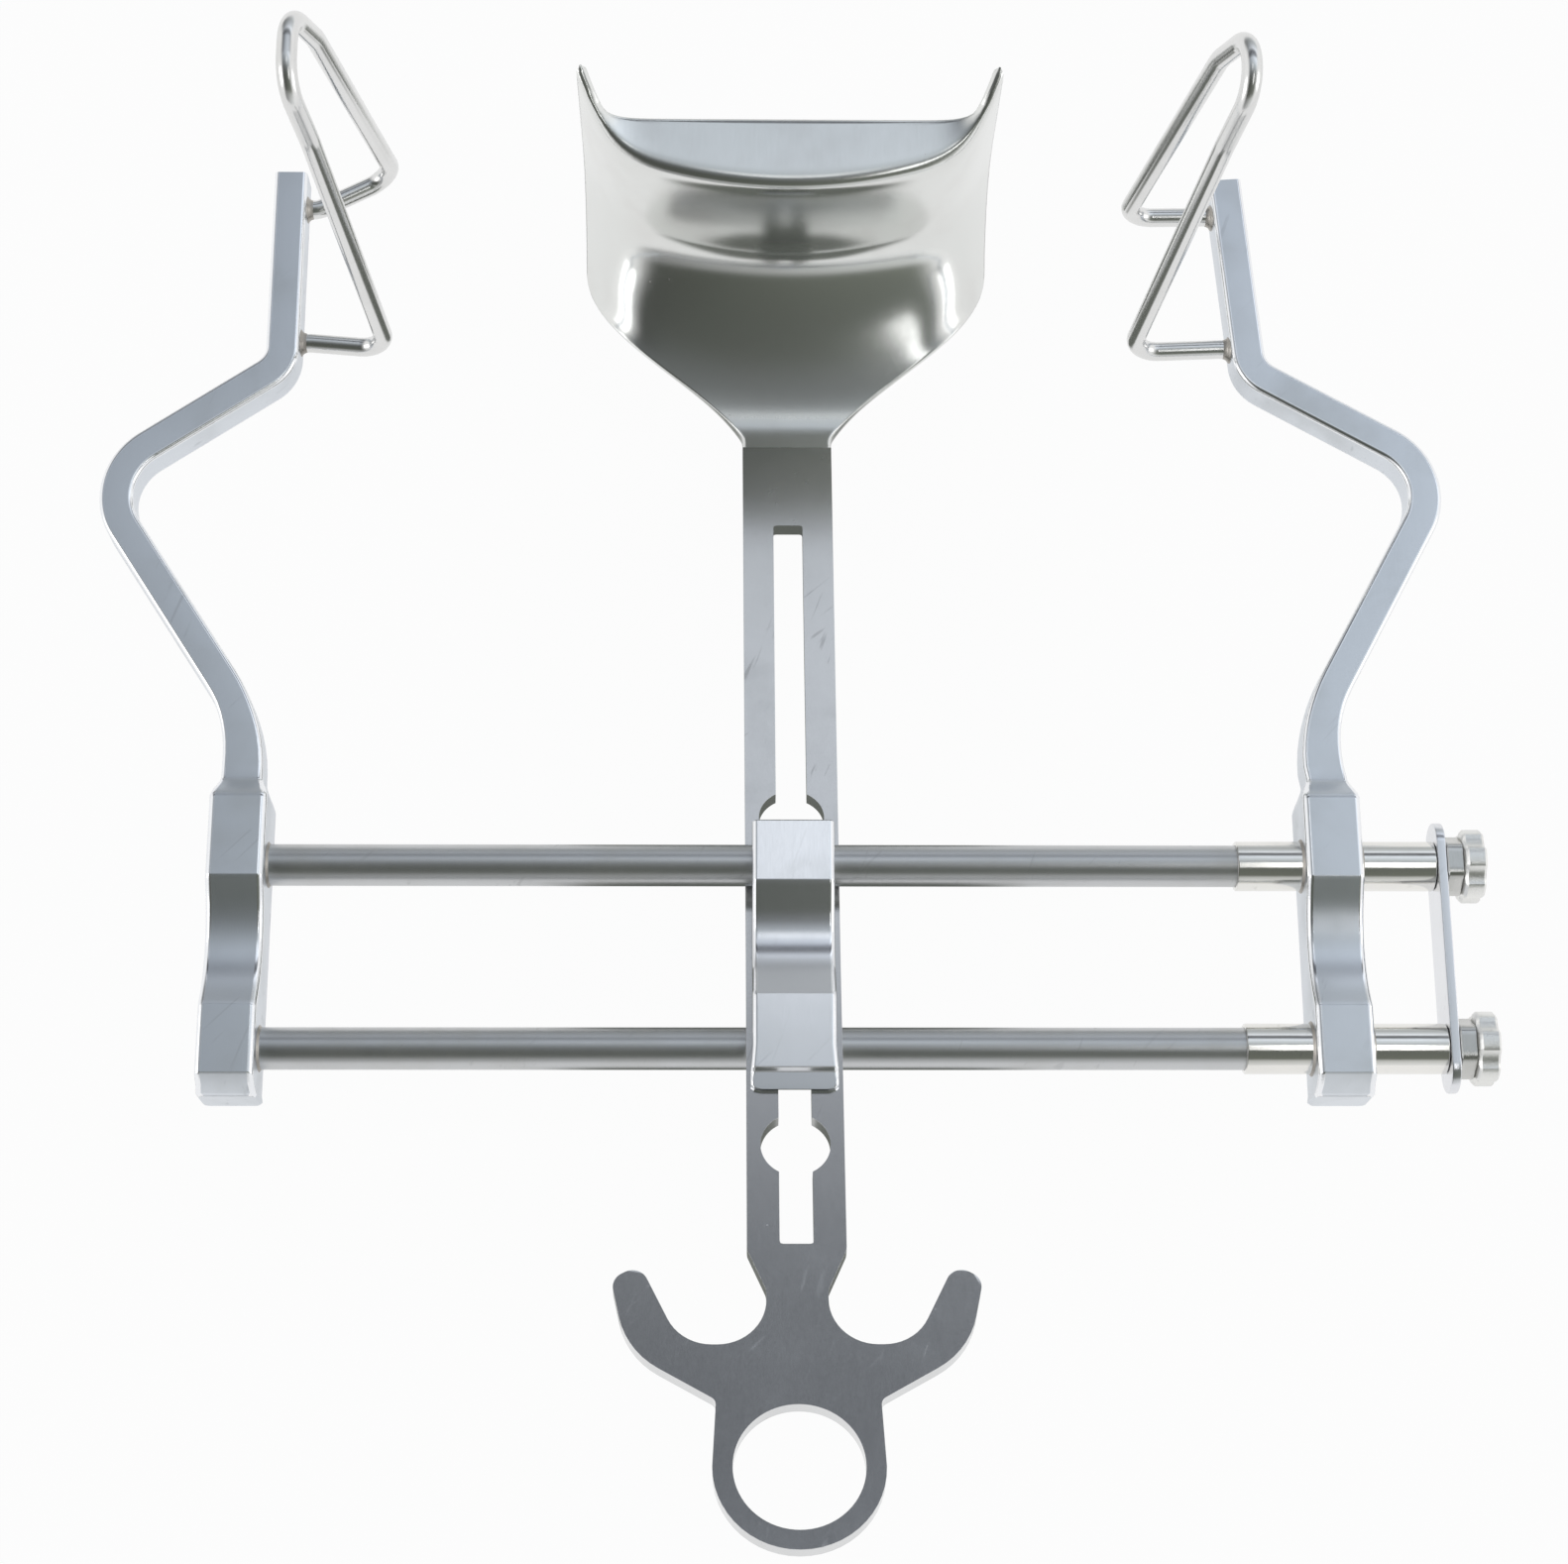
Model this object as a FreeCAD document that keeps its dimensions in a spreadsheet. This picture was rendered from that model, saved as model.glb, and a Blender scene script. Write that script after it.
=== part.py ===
"""Abdominal self-retaining retractor: two rods, a fixed and a sliding arm, wire side blades, centre blade.

The origin is the middle of the fixed block's back face. +X runs along the rods towards the thumb
screws, +Y from the handle ring towards the blades, +Z from the block's back towards the blade tips.
Each piece is drawn about the plane of the two rods and placed from there.
"""

import FreeCAD, Part

import math
import os

import Sketcher

VECTOR = FreeCAD.Vector

# Sizes in millimetres and degrees.
SIZES = {
    # rods and the end that holds them together
    "rod_length": 235.0,
    "rod_diameter": 8.0,
    "rod_spacing": 36.0,
    "running_gap": 0.05,
    "seat_gap": 0.03,
    "plate_thickness": 1.8,
    "plate_depth": 10.0,
    "plate_overhang": 8.5,
    "stop_gap": 0.1,
    # blocks of the two arms
    "block_width": 11.0,
    "block_depth": 14.0,
    "block_head": 30.5,
    "block_tail": 27.6,
    "tail_bevel": 3.4,
    "tail_bevel_drop": 4.6,
    "shoulder": 4.0,
    "waist_centre": 1.5,
    "waist_length": 25.0,
    "waist_valley": 7.0,
    "block_edge": 1.3,
    # curved arms
    "arm_width": 6.6,
    "arm_depth": 7.6,
    "arm_edge": 0.8,
    "arm_root": 7.0,
    "splay_start": 47.0,
    "bulge_out": 32.6,
    "bulge_at": 97.0,
    "bar_inset": 3.6,
    "bar_start": 122.0,
    "arm_top": 165.2,
    "splay_bend": 32.0,
    "bulge_bend": 13.0,
    "bar_bend": 7.0,
    "sliding_lean": 4.3,
    # wire side blades
    "wire_diameter": 3.8,
    "wire_upper_seat": 158.5,
    "wire_lower_seat": 128.3,
    "fixed_reach": 20.9,
    "sliding_reach": 22.4,
    "fixed_upper_corner": 166.6,
    "sliding_upper_corner": 157.6,
    "lower_corner": 127.0,
    "wire_knee": 2.2,
    "wire_depth": 81.0,
    "wire_curl": 14.0,
    "fixed_leg_upper": 157.9,
    "sliding_leg_upper": 154.6,
    "leg_lower": 136.4,
    "fixed_leg_lean": 0.115,
    "sliding_leg_lean": 0.145,
    "curl_out": 1.2,
    "tip_taper": 3.6,
    "wire_bend": 5.2,
    "curl_bend": 14.0,
    "tip_bend": 7.2,
    # stations along the rods with the retractor open
    "saddle_station": 106.0,
    "sleeve_offset": 0.8,
    "sleeve_length": 38.2,
    "sleeve_wall": 0.75,
    # saddle
    "saddle_width": 15.6,
    "saddle_head": 24.5,
    "saddle_tail": 28.3,
    "saddle_bevel": 3.9,
    "saddle_upper_pad": 9.5,
    "saddle_lower_pad": 12.9,
    "saddle_waist_top": 12.4,
    "saddle_waist_end": 10.5,
    "saddle_valley": 6.2,
    "saddle_edge": 1.1,
    "saddle_corner": 3.2,
    "saddle_lip": 1.5,
    "web_width": 5.6,
    "web_back": 6.6,
    # shank, handle and ring of the centre blade
    "shank_thickness": 3.0,
    "shank_gap": 0.1,
    "shank_width": 17.8,
    "neck_width": 19.0,
    "neck_at": 129.0,
    "neck_run": 3.0,
    "slot_width": 6.1,
    "slot_top": 106.9,
    "slot_end": 61.9,
    "keyhole_radius": 6.4,
    "upper_keyhole": 31.4,
    "lower_keyhole": 41.7,
    "shank_end": 63.0,
    "waist_half": 5.5,
    "waist_at": 71.0,
    "hook_root": 81.5,
    "hook_turn": 20.5,
    "hook_span": 33.0,
    "hook_width": 5.8,
    "hook_tip": 66.0,
    "hook_heel": 82.7,
    "ring_neck": 92.0,
    "ring_at": 104.2,
    "ring_outer": 14.9,
    "ring_inner": 11.4,
    # trough of the centre blade
    "trough_half": 43.0,
    "trough_bend": 28.0,
    "trough_wall": 16.0,
    "trough_thickness": 2.2,
    "trough_bow": 90.0,
    "trough_horn": 7.0,
    "lip_bend": 4.0,
    "lip_reach": 15.2,
    # thumb screws
    "screw_diameter": 5.0,
    "screw_depth": 12.0,
    "collar_across": 10.6,
    "collar_thickness": 3.2,
    "knob_diameter": 14.2,
    "knob_thickness": 4.2,
    "knob_edge": 0.6,
    "knob_flutes": 6,
    "flute_radius": 3.2,
    "flute_depth": 0.9,
}

doc = FreeCAD.newDocument("retractor")
sheet = doc.addObject("Spreadsheet::Sheet", "Sizes")
for row, (alias, size) in enumerate(SIZES.items(), start=1):
    sheet.set("A%d" % row, alias)
    sheet.set("B%d" % row, str(size))
    sheet.setAlias("B%d" % row, alias)
doc.recompute()

ROD_HEIGHT = "Sizes.block_depth / 2"
ROD_Y = "Sizes.rod_spacing / 2"
ROD_END = "(Sizes.rod_length - Sizes.block_width / 2)"
SLIDING = "(%s - Sizes.stop_gap - Sizes.sleeve_length / 2 - Sizes.sleeve_offset)" % ROD_END
TILT = ("asin((Sizes.rod_diameter / 2 + Sizes.shank_thickness / 2 + Sizes.shank_gap)"
        " / (Sizes.rod_spacing / 2))")


def value(expression):
    """Returns the number that a sheet expression stands for now."""
    result = sheet.evalExpression(expression.replace("Sizes.", ""))
    return float(getattr(result, "Value", result))


def place(piece, x="0", y="0", z=ROD_HEIGHT):
    """Binds a piece's position to expressions."""
    for axis, expression in (("x", x), ("y", y), ("z", z)):
        piece.setExpression("Placement.Base." + axis, expression)


def new_body(name):
    """Adds an empty body under its node name."""
    body = doc.addObject("PartDesign::Body", name)
    body.Label = name
    return body


def attach(body, sketch, role, lift=None):
    """Lays a sketch on one of its body's own origin planes, lifted along the plane's normal."""
    plane = [item for item in body.Origin.OriginFeatures if item.Role == role][0]
    sketch.AttachmentSupport = [(plane, "")]
    sketch.MapMode = "FlatFace"
    if lift:
        sketch.setExpression("AttachmentOffset.Base.z", lift)


def pin_point(sketch, geometry, position, corner):
    """Fixes a sketch point at a pair of expressions, measured from the sketch's origin."""
    point = sketch.getPoint(geometry, position)
    for kind, start, expression in (("DistanceX", point.x, corner[0]), ("DistanceY", point.y, corner[1])):
        index = sketch.addConstraint(Sketcher.Constraint(kind, -1, 1, geometry, position, start))
        sketch.setExpression("Constraints[%d]" % index, expression)


def outline(body, name, role, corners, rounds=None, closed=True, lift=None):
    """Draws straight sides from corner to corner and rounds some of the corners.

    Each corner is a pair of expressions. rounds gives a radius expression for a corner's number.
    """
    sketch = body.newObject("Sketcher::SketchObject", name)
    attach(body, sketch, role, lift)
    points = [VECTOR(value(x), value(y), 0) for x, y in corners]
    count = len(points)
    sides = count if closed else count - 1
    for side in range(sides):
        sketch.addGeometry(Part.LineSegment(points[side], points[(side + 1) % count]), False)
    for side in range(sides - 1):
        sketch.addConstraint(Sketcher.Constraint("Coincident", side, 2, side + 1, 1))
    if closed:
        sketch.addConstraint(Sketcher.Constraint("Coincident", sides - 1, 2, 0, 1))
        for side in range(sides):
            pin_point(sketch, side, 1, corners[side])
    else:
        pin_point(sketch, 0, 1, corners[0])
        for side in range(sides):
            pin_point(sketch, side, 2, corners[side + 1])
    for corner, radius in sorted((rounds or {}).items()):
        arc = sketch.GeometryCount
        sketch.fillet((corner - 1) % count, 2, value(radius), True, True)
        index = sketch.addConstraint(Sketcher.Constraint("Radius", arc, value(radius)))
        sketch.setExpression("Constraints[%d]" % index, radius)
    return sketch


def circles(body, name, role, spots, lift=None):
    """Draws circles, each a centre's two expressions and a radius expression."""
    sketch = body.newObject("Sketcher::SketchObject", name)
    attach(body, sketch, role, lift)
    for x, y, radius in spots:
        centre = VECTOR(value(x), value(y), 0)
        index = sketch.addGeometry(Part.Circle(centre, VECTOR(0, 0, 1), value(radius)), False)
        pin_point(sketch, index, 3, (x, y))
        number = sketch.addConstraint(Sketcher.Constraint("Radius", index, value(radius)))
        sketch.setExpression("Constraints[%d]" % number, radius)
    return sketch


def pad(body, sketch, length, middle=True):
    """Thickens a sketch, to both sides alike where middle is set."""
    feature = body.newObject("PartDesign::Pad", sketch.Name + "_pad")
    feature.Profile = sketch
    feature.setExpression("Length", length)
    feature.SideType = "Symmetric" if middle else "One side"
    doc.recompute()
    return feature


def pocket(body, sketch):
    """Cuts a sketch right through the body, both ways."""
    before = body.Shape.Volume
    feature = body.newObject("PartDesign::Pocket", sketch.Name + "_cut")
    feature.Profile = sketch
    feature.Type = "ThroughAll"
    feature.SideType = "Symmetric"
    doc.recompute()
    if feature.Shape.Volume > before - 0.01:
        raise RuntimeError(sketch.Name + " cuts nothing")
    return feature


def bevel(body, base, size, test):
    """Chamfers the edges of a feature that pass a test on their ends and middle."""
    picked = []
    for number, edge in enumerate(base.Shape.Edges, start=1):
        middle = edge.valueAt((edge.FirstParameter + edge.LastParameter) / 2)
        if test([vertex.Point for vertex in edge.Vertexes] + [middle]):
            picked.append("Edge%d" % number)
    feature = body.newObject("PartDesign::Chamfer", base.Name + "_edges")
    feature.Base = (base, picked)
    feature.setExpression("Size", size)
    doc.recompute()
    return feature


def mirrored(corners):
    """Returns the right half's corners and the same ones on the left, in one closed round."""
    return corners + [("-(%s)" % x, y) for x, y in reversed(corners)]


def leaned(outward, y, lean):
    """Turns an arm's corner inwards about the middle of its block's head."""
    above = "(%s - Sizes.block_head)" % y
    turned_out = "((%s) * cos(%s) - %s * sin(%s))" % (outward, lean, above, lean)
    turned_y = "(Sizes.block_head + %s * cos(%s) + (%s) * sin(%s))" % (above, lean, outward, lean)
    return turned_out, turned_y


def block_and_arm(name, side, lean, bore):
    """Makes one arm: its waisted block, its swept S-curve and its straight bar.

    side is "-1" for the arm that bulges towards -X and "1" for the other. bore is the radius of
    the two holes along the rods.
    """
    body = new_body(name)
    half = "(Sizes.block_depth / 2)"
    slope = "(Sizes.waist_valley / (Sizes.waist_length / 2))"
    flank = "sqrt((Sizes.waist_length / 2) ^ 2 + Sizes.waist_valley ^ 2)"
    profile = outline(body, name + "_block", "YZ_Plane", [
        ("Sizes.block_head", half),
        ("Sizes.waist_centre + Sizes.waist_length / 2", half),
        ("Sizes.waist_centre", half + " - Sizes.waist_valley"),
        ("Sizes.waist_centre - Sizes.waist_length / 2", half),
        ("-(Sizes.block_tail - Sizes.tail_bevel)", half),
        ("-Sizes.block_tail", half + " - Sizes.tail_bevel_drop"),
        ("-Sizes.block_tail", "-" + half),
        ("Sizes.block_head", "-" + half),
        ("Sizes.block_head + Sizes.shoulder", "-Sizes.arm_depth / 2"),
        ("Sizes.block_head + Sizes.shoulder", "Sizes.arm_depth / 2"),
    ], rounds={2: "0.8 * %s / %s" % (flank, slope), 6: "Sizes.block_edge"})
    block = pad(body, profile, "Sizes.block_width")
    side_face = value("Sizes.block_width") / 2 - 0.01
    bevel(body, block, "Sizes.block_edge", lambda ends: (
        min(abs(point.x) for point in ends) > side_face
        and ends[-1].z > -value(half) + 0.01 and ends[-1].y < value("Sizes.block_head") + 0.01
        and ends[-1].y > -value("Sizes.block_tail") + 0.01))

    wide = "Sizes.block_width / 2"
    narrow = "(Sizes.arm_width / 2 + 0.2)"
    neck = "(Sizes.block_head + Sizes.shoulder)"
    for corner, sign in (("_near_shoulder", ""), ("_far_shoulder", "-")):
        pocket(body, outline(body, name + corner, "XY_Plane", [
            (sign + "(%s)" % wide, "Sizes.block_head - 0.8"),
            (sign + narrow, neck),
            (sign + narrow, neck + " + 1"),
            (sign + "(%s + 1)" % wide, neck + " + 1"),
            (sign + "(%s + 1)" % wide, "Sizes.block_head - 0.8"),
        ]))

    corners = [("0", "Sizes.block_head - Sizes.arm_root")]
    for outward, y in (("0", "Sizes.splay_start"), ("Sizes.bulge_out", "Sizes.bulge_at"),
                       ("-Sizes.bar_inset", "Sizes.bar_start"), ("-Sizes.bar_inset", "Sizes.arm_top")):
        turned_out, turned_y = leaned(outward, y, lean)
        corners.append(("%s * %s" % (side, turned_out), turned_y))
    spine = outline(body, name + "_line", "XY_Plane", corners, closed=False, rounds={
        1: "Sizes.splay_bend", 2: "Sizes.bulge_bend", 3: "Sizes.bar_bend"})
    wide = "Sizes.arm_width / 2"
    deep = "Sizes.arm_depth / 2"
    edge = " - Sizes.arm_edge"
    section = outline(body, name + "_section", "XZ_Plane", [
        (wide, deep + edge), (wide + edge, deep), ("-(%s)" % (wide + edge), deep),
        ("-" + wide, deep + edge), ("-" + wide, "-(%s)" % (deep + edge)),
        ("-(%s)" % (wide + edge), "-" + deep), (wide + edge, "-" + deep),
        (wide, "-(%s)" % (deep + edge)),
    ], lift="-(Sizes.block_head - Sizes.arm_root)")
    doc.recompute()
    pipe = body.newObject("PartDesign::AdditivePipe", name + "_curve")
    pipe.Profile = section
    pipe.Spine = (spine, [])
    doc.recompute()

    pocket(body, circles(body, name + "_rod_holes", "YZ_Plane", [
        (ROD_Y, "0", bore), ("-" + ROD_Y, "0", bore)]))
    wire_hole = "Sizes.wire_diameter / 2 + Sizes.seat_gap"
    seats = [leaned("-Sizes.bar_inset", seat, lean)[1]
             for seat in ("Sizes.wire_upper_seat", "Sizes.wire_lower_seat")]
    pocket(body, circles(body, name + "_wire_holes", "YZ_Plane", [(y, "0", wire_hole) for y in seats]))
    return body


def rounded_path(points, radii):
    """Returns a wire of straight runs whose inner corners are tangent arcs."""
    edges = []
    start = points[0]
    for corner, radius in enumerate(radii, start=1):
        here = points[corner]
        back = (points[corner - 1] - here).normalize()
        ahead = (points[corner + 1] - here).normalize()
        half_angle = back.getAngle(ahead) / 2
        reach = radius / math.tan(half_angle)
        entry = here + back * reach
        leave = here + ahead * reach
        middle = here + (back + ahead).normalize() * (radius / math.sin(half_angle) - radius)
        edges.append(Part.makeLine(start, entry))
        edges.append(Part.Arc(entry, middle, leave).toShape())
        start = leave
    edges.append(Part.makeLine(start, points[-1]))
    return Part.Wire(edges)


def wire_blade(name, side, lean, station):
    """Bends one side blade from round wire: two seats in the bar, two legs and a rounded tip.

    side and station place it like its arm. The sizes that begin with the arm's name are its own.
    """
    arm = "Sizes." + name.split("_")[0]

    def spot(outward, y, z):
        return VECTOR(side * outward, y, z)

    def seat(y):
        return [value(part) for part in leaned("-Sizes.bar_inset", y, lean)]

    flush = value("Sizes.arm_width") / 2 - value("Sizes.seat_gap")
    knee = value("Sizes.arm_width") / 2 + value("Sizes.wire_knee")
    upper_out, upper_y = seat("Sizes.wire_upper_seat")
    lower_out, lower_y = seat("Sizes.wire_lower_seat")
    corner_out = (upper_out + lower_out) / 2 - value(arm + "_reach")
    curl_at = value("Sizes.wire_depth - Sizes.wire_curl")
    leg_out = corner_out + curl_at * value(arm + "_leg_lean")
    tip_out = leg_out + value("Sizes.wire_curl") * value(arm + "_leg_lean") + value("Sizes.curl_out")
    points = [
        spot(upper_out + flush, upper_y, 0),
        spot(upper_out - knee, upper_y, 0),
        spot(corner_out, value(arm + "_upper_corner"), 0),
        spot(leg_out, value(arm + "_leg_upper"), curl_at),
        spot(tip_out, value(arm + "_leg_upper - Sizes.tip_taper"), value("Sizes.wire_depth")),
        spot(tip_out, value("Sizes.leg_lower + Sizes.tip_taper"), value("Sizes.wire_depth")),
        spot(leg_out, value("Sizes.leg_lower"), curl_at),
        spot(corner_out, value("Sizes.lower_corner"), 0),
        spot(lower_out - knee, lower_y, 0),
        spot(lower_out + flush, lower_y, 0),
    ]
    bend = value("Sizes.wire_bend")
    tip = value("Sizes.tip_bend")
    curl = value("Sizes.curl_bend")
    path = rounded_path(points, [bend, bend, curl, tip, tip, curl, bend, bend])
    radius = value("Sizes.wire_diameter") / 2
    circle = Part.Wire([Part.makeCircle(radius, points[0], points[1] - points[0])])
    piece = doc.addObject("Part::Feature", name)
    piece.Label = name
    piece.Shape = path.makePipeShell([circle], True, True)
    place(piece, x=station)
    return piece


def cylinder(name, radius, length, x, y):
    """Makes a round bar along X that starts at x."""
    bar = doc.addObject("Part::Cylinder", name)
    bar.setExpression("Radius", radius)
    bar.setExpression("Height", length)
    bar.Placement.Rotation = FreeCAD.Rotation(VECTOR(0, 1, 0), 90)
    place(bar, x, y)
    return bar


def cut(name, base, tool):
    """Cuts one solid out of another and names the result."""
    result = doc.addObject("Part::Cut", name)
    result.Base = base
    result.Tool = tool
    result.Label = name
    return result


def rod(name, y):
    """Makes a rod, fixed in the first block and tapped at its far end for a thumb screw."""
    start = "-Sizes.block_width / 2"
    bar = cylinder(name + "_bar", "Sizes.rod_diameter / 2", "Sizes.rod_length", start, y)
    depth = "(Sizes.screw_depth - Sizes.plate_thickness + 1)"
    bore = cylinder(name + "_bore", "Sizes.screw_diameter / 2 + Sizes.running_gap",
                    depth, "%s - %s" % (ROD_END, depth), y)
    return cut(name, bar, bore)


def guide_sleeve(name, y):
    """Makes a bright sleeve that runs on a rod and is brazed into the sliding block."""
    inner = "Sizes.rod_diameter / 2 + Sizes.running_gap"
    start = SLIDING + " + Sizes.sleeve_offset - Sizes.sleeve_length / 2"
    tube = cylinder(name + "_tube", inner + " + Sizes.sleeve_wall", "Sizes.sleeve_length", start, y)
    bore = cylinder(name + "_bore", inner, "Sizes.sleeve_length", start, y)
    return cut(name, tube, bore)


def end_plate():
    """Makes the thin plate that joins the rod ends and stops the sliding arm."""
    body = new_body("end_plate")
    long = "(Sizes.rod_spacing / 2 + Sizes.plate_overhang)"
    deep = "Sizes.plate_depth / 2"
    shape = outline(body, "plate_shape", "YZ_Plane", [
        (long, deep), ("-" + long, deep), ("-" + long, "-" + deep), (long, "-" + deep),
    ], rounds={corner: "Sizes.plate_depth * 0.49" for corner in range(4)})
    pad(body, shape, "Sizes.plate_thickness", middle=False)
    hole = "Sizes.screw_diameter / 2 + 3 * Sizes.running_gap"
    pocket(body, circles(body, "plate_holes", "YZ_Plane", [(ROD_Y, "0", hole), ("-" + ROD_Y, "0", hole)]))
    place(body, x=ROD_END)
    return body


def thumb_screw(name, y):
    """Makes a thumb screw: a plain shank, a six-sided collar and a fluted knob."""
    body = new_body(name)
    seat = "Sizes.plate_thickness + Sizes.running_gap"
    shank = circles(body, name + "_shank", "YZ_Plane", [("0", "0", "Sizes.screw_diameter / 2")],
                    lift="%s - Sizes.screw_depth" % seat)
    pad(body, shank, "Sizes.screw_depth + 0.5", middle=False)
    corner = "Sizes.collar_across / 2 / cos(30)"
    collar = outline(body, name + "_collar", "YZ_Plane", [
        ("%s * cos(%d)" % (corner, 60 * turn), "%s * sin(%d)" % (corner, 60 * turn)) for turn in range(6)
    ], lift=seat)
    pad(body, collar, "Sizes.collar_thickness", middle=False)
    knob = circles(body, name + "_knob", "YZ_Plane", [("0", "0", "Sizes.knob_diameter / 2")],
                   lift=seat + " + Sizes.collar_thickness")
    disc = pad(body, knob, "Sizes.knob_thickness", middle=False)
    rim = value("Sizes.knob_diameter") / 2 - 0.01
    bevel(body, disc, "Sizes.knob_edge", lambda ends: (
        math.hypot(ends[0].y, ends[0].z) > rim and len(ends) == 2))
    flute = circles(body, name + "_flute", "YZ_Plane", [
        ("Sizes.knob_diameter / 2 + Sizes.flute_radius - Sizes.flute_depth", "0", "Sizes.flute_radius")])
    groove = pocket(body, flute)
    ring = body.newObject("PartDesign::PolarPattern", name + "_flutes")
    ring.Originals = [groove]
    axis = [item for item in body.Origin.OriginFeatures if item.Role == "X_Axis"][0]
    ring.Axis = (axis, [""])
    ring.Angle = 360
    ring.setExpression("Occurrences", "Sizes.knob_flutes")
    body.Tip = ring
    place(body, x=ROD_END, y=y)
    return body


def shank_front(y):
    """Returns the height of the shank's front face, with its gap, at a place along Y."""
    return ("(-(%s) * tan(%s) + Sizes.shank_thickness / 2 / cos(%s) + Sizes.shank_gap / cos(%s))"
            % (y, TILT, TILT, TILT))


def centre_saddle():
    """Makes the saddle: a waisted cap over both rods and a web that lies in the shank's slot."""
    body = new_body("centre_saddle")
    rise = "(Sizes.saddle_lower_pad - Sizes.saddle_upper_pad)"
    valley_y = "(Sizes.saddle_waist_top - Sizes.saddle_waist_end) / 2"
    valley_z = "Sizes.saddle_upper_pad + %s / 2 - Sizes.saddle_valley" % rise
    half_waist = "((Sizes.saddle_waist_top + Sizes.saddle_waist_end) / 2)"
    back = "-Sizes.saddle_lip"
    meet = "((Sizes.saddle_lip + (Sizes.shank_thickness / 2 + Sizes.shank_gap) / cos(%s)) / tan(%s))" % (
        TILT, TILT)
    cap = outline(body, "saddle_cap", "YZ_Plane", [
        ("Sizes.saddle_head", back),
        ("Sizes.saddle_head", "Sizes.saddle_upper_pad"),
        ("Sizes.saddle_waist_top", "Sizes.saddle_upper_pad"),
        (valley_y, valley_z),
        ("-Sizes.saddle_waist_end", "Sizes.saddle_lower_pad"),
        ("-(Sizes.saddle_tail - Sizes.saddle_bevel)", "Sizes.saddle_lower_pad"),
        ("-Sizes.saddle_tail", shank_front("-Sizes.saddle_tail") + " + 0.3"),
        ("-Sizes.saddle_tail", shank_front("-Sizes.saddle_tail")),
        (meet, back),
    ], rounds={3: "0.62 * %s ^ 2 / Sizes.saddle_valley" % half_waist})
    block = pad(body, cap, "Sizes.saddle_width")
    side_face = value("Sizes.saddle_width") / 2 - 0.01
    bevel(body, block, "Sizes.saddle_edge", lambda ends: (
        min(abs(point.x) for point in ends) > side_face
        and min(point.z for point in ends) > value("Sizes.saddle_upper_pad") / 2.0
        and ends[-1].z > value(shank_front("%f" % ends[-1].y)) + 1.0))
    wide = "Sizes.saddle_width / 2"
    corner = "Sizes.saddle_corner"
    tail = "Sizes.saddle_tail"
    for name, sign in (("saddle_corner_right", ""), ("saddle_corner_left", "-")):
        pocket(body, outline(body, name, "XY_Plane", [
            (sign + "(%s + 1)" % wide, "-(%s + 1)" % tail),
            (sign + "(%s + 1)" % wide, "-(%s - %s * 0.6)" % (tail, corner)),
            (sign + "(%s)" % wide, "-(%s - %s * 0.6)" % (tail, corner)),
            (sign + "(%s - %s)" % (wide, corner), "-(%s)" % tail),
            (sign + "(%s - %s)" % (wide, corner), "-(%s + 1)" % tail),
        ]))
    low = "Sizes.rod_diameter / 2 + Sizes.running_gap + 2.4"
    web = outline(body, "saddle_web", "YZ_Plane", [
        ("Sizes.saddle_head", "0"),
        ("Sizes.saddle_head", "-Sizes.web_back"),
        ("-(%s + %s - 1)" % (ROD_Y, low), "-Sizes.web_back"),
        ("-(%s + %s)" % (ROD_Y, low), "-Sizes.web_back + 2"),
        ("-(Sizes.saddle_tail - 0.5)", shank_front("-Sizes.saddle_tail") + " - 1"),
        ("-(Sizes.saddle_tail - 0.5)", shank_front("-Sizes.saddle_tail") + " + 0.2"),
        ("0", shank_front("0") + " + 1"),
    ])
    pad(body, web, "Sizes.web_width")
    bore = "Sizes.rod_diameter / 2 + Sizes.running_gap"
    pocket(body, circles(body, "saddle_holes", "YZ_Plane", [(ROD_Y, "0", bore), ("-" + ROD_Y, "0", bore)]))
    place(body, x="Sizes.saddle_station")
    return body


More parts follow.
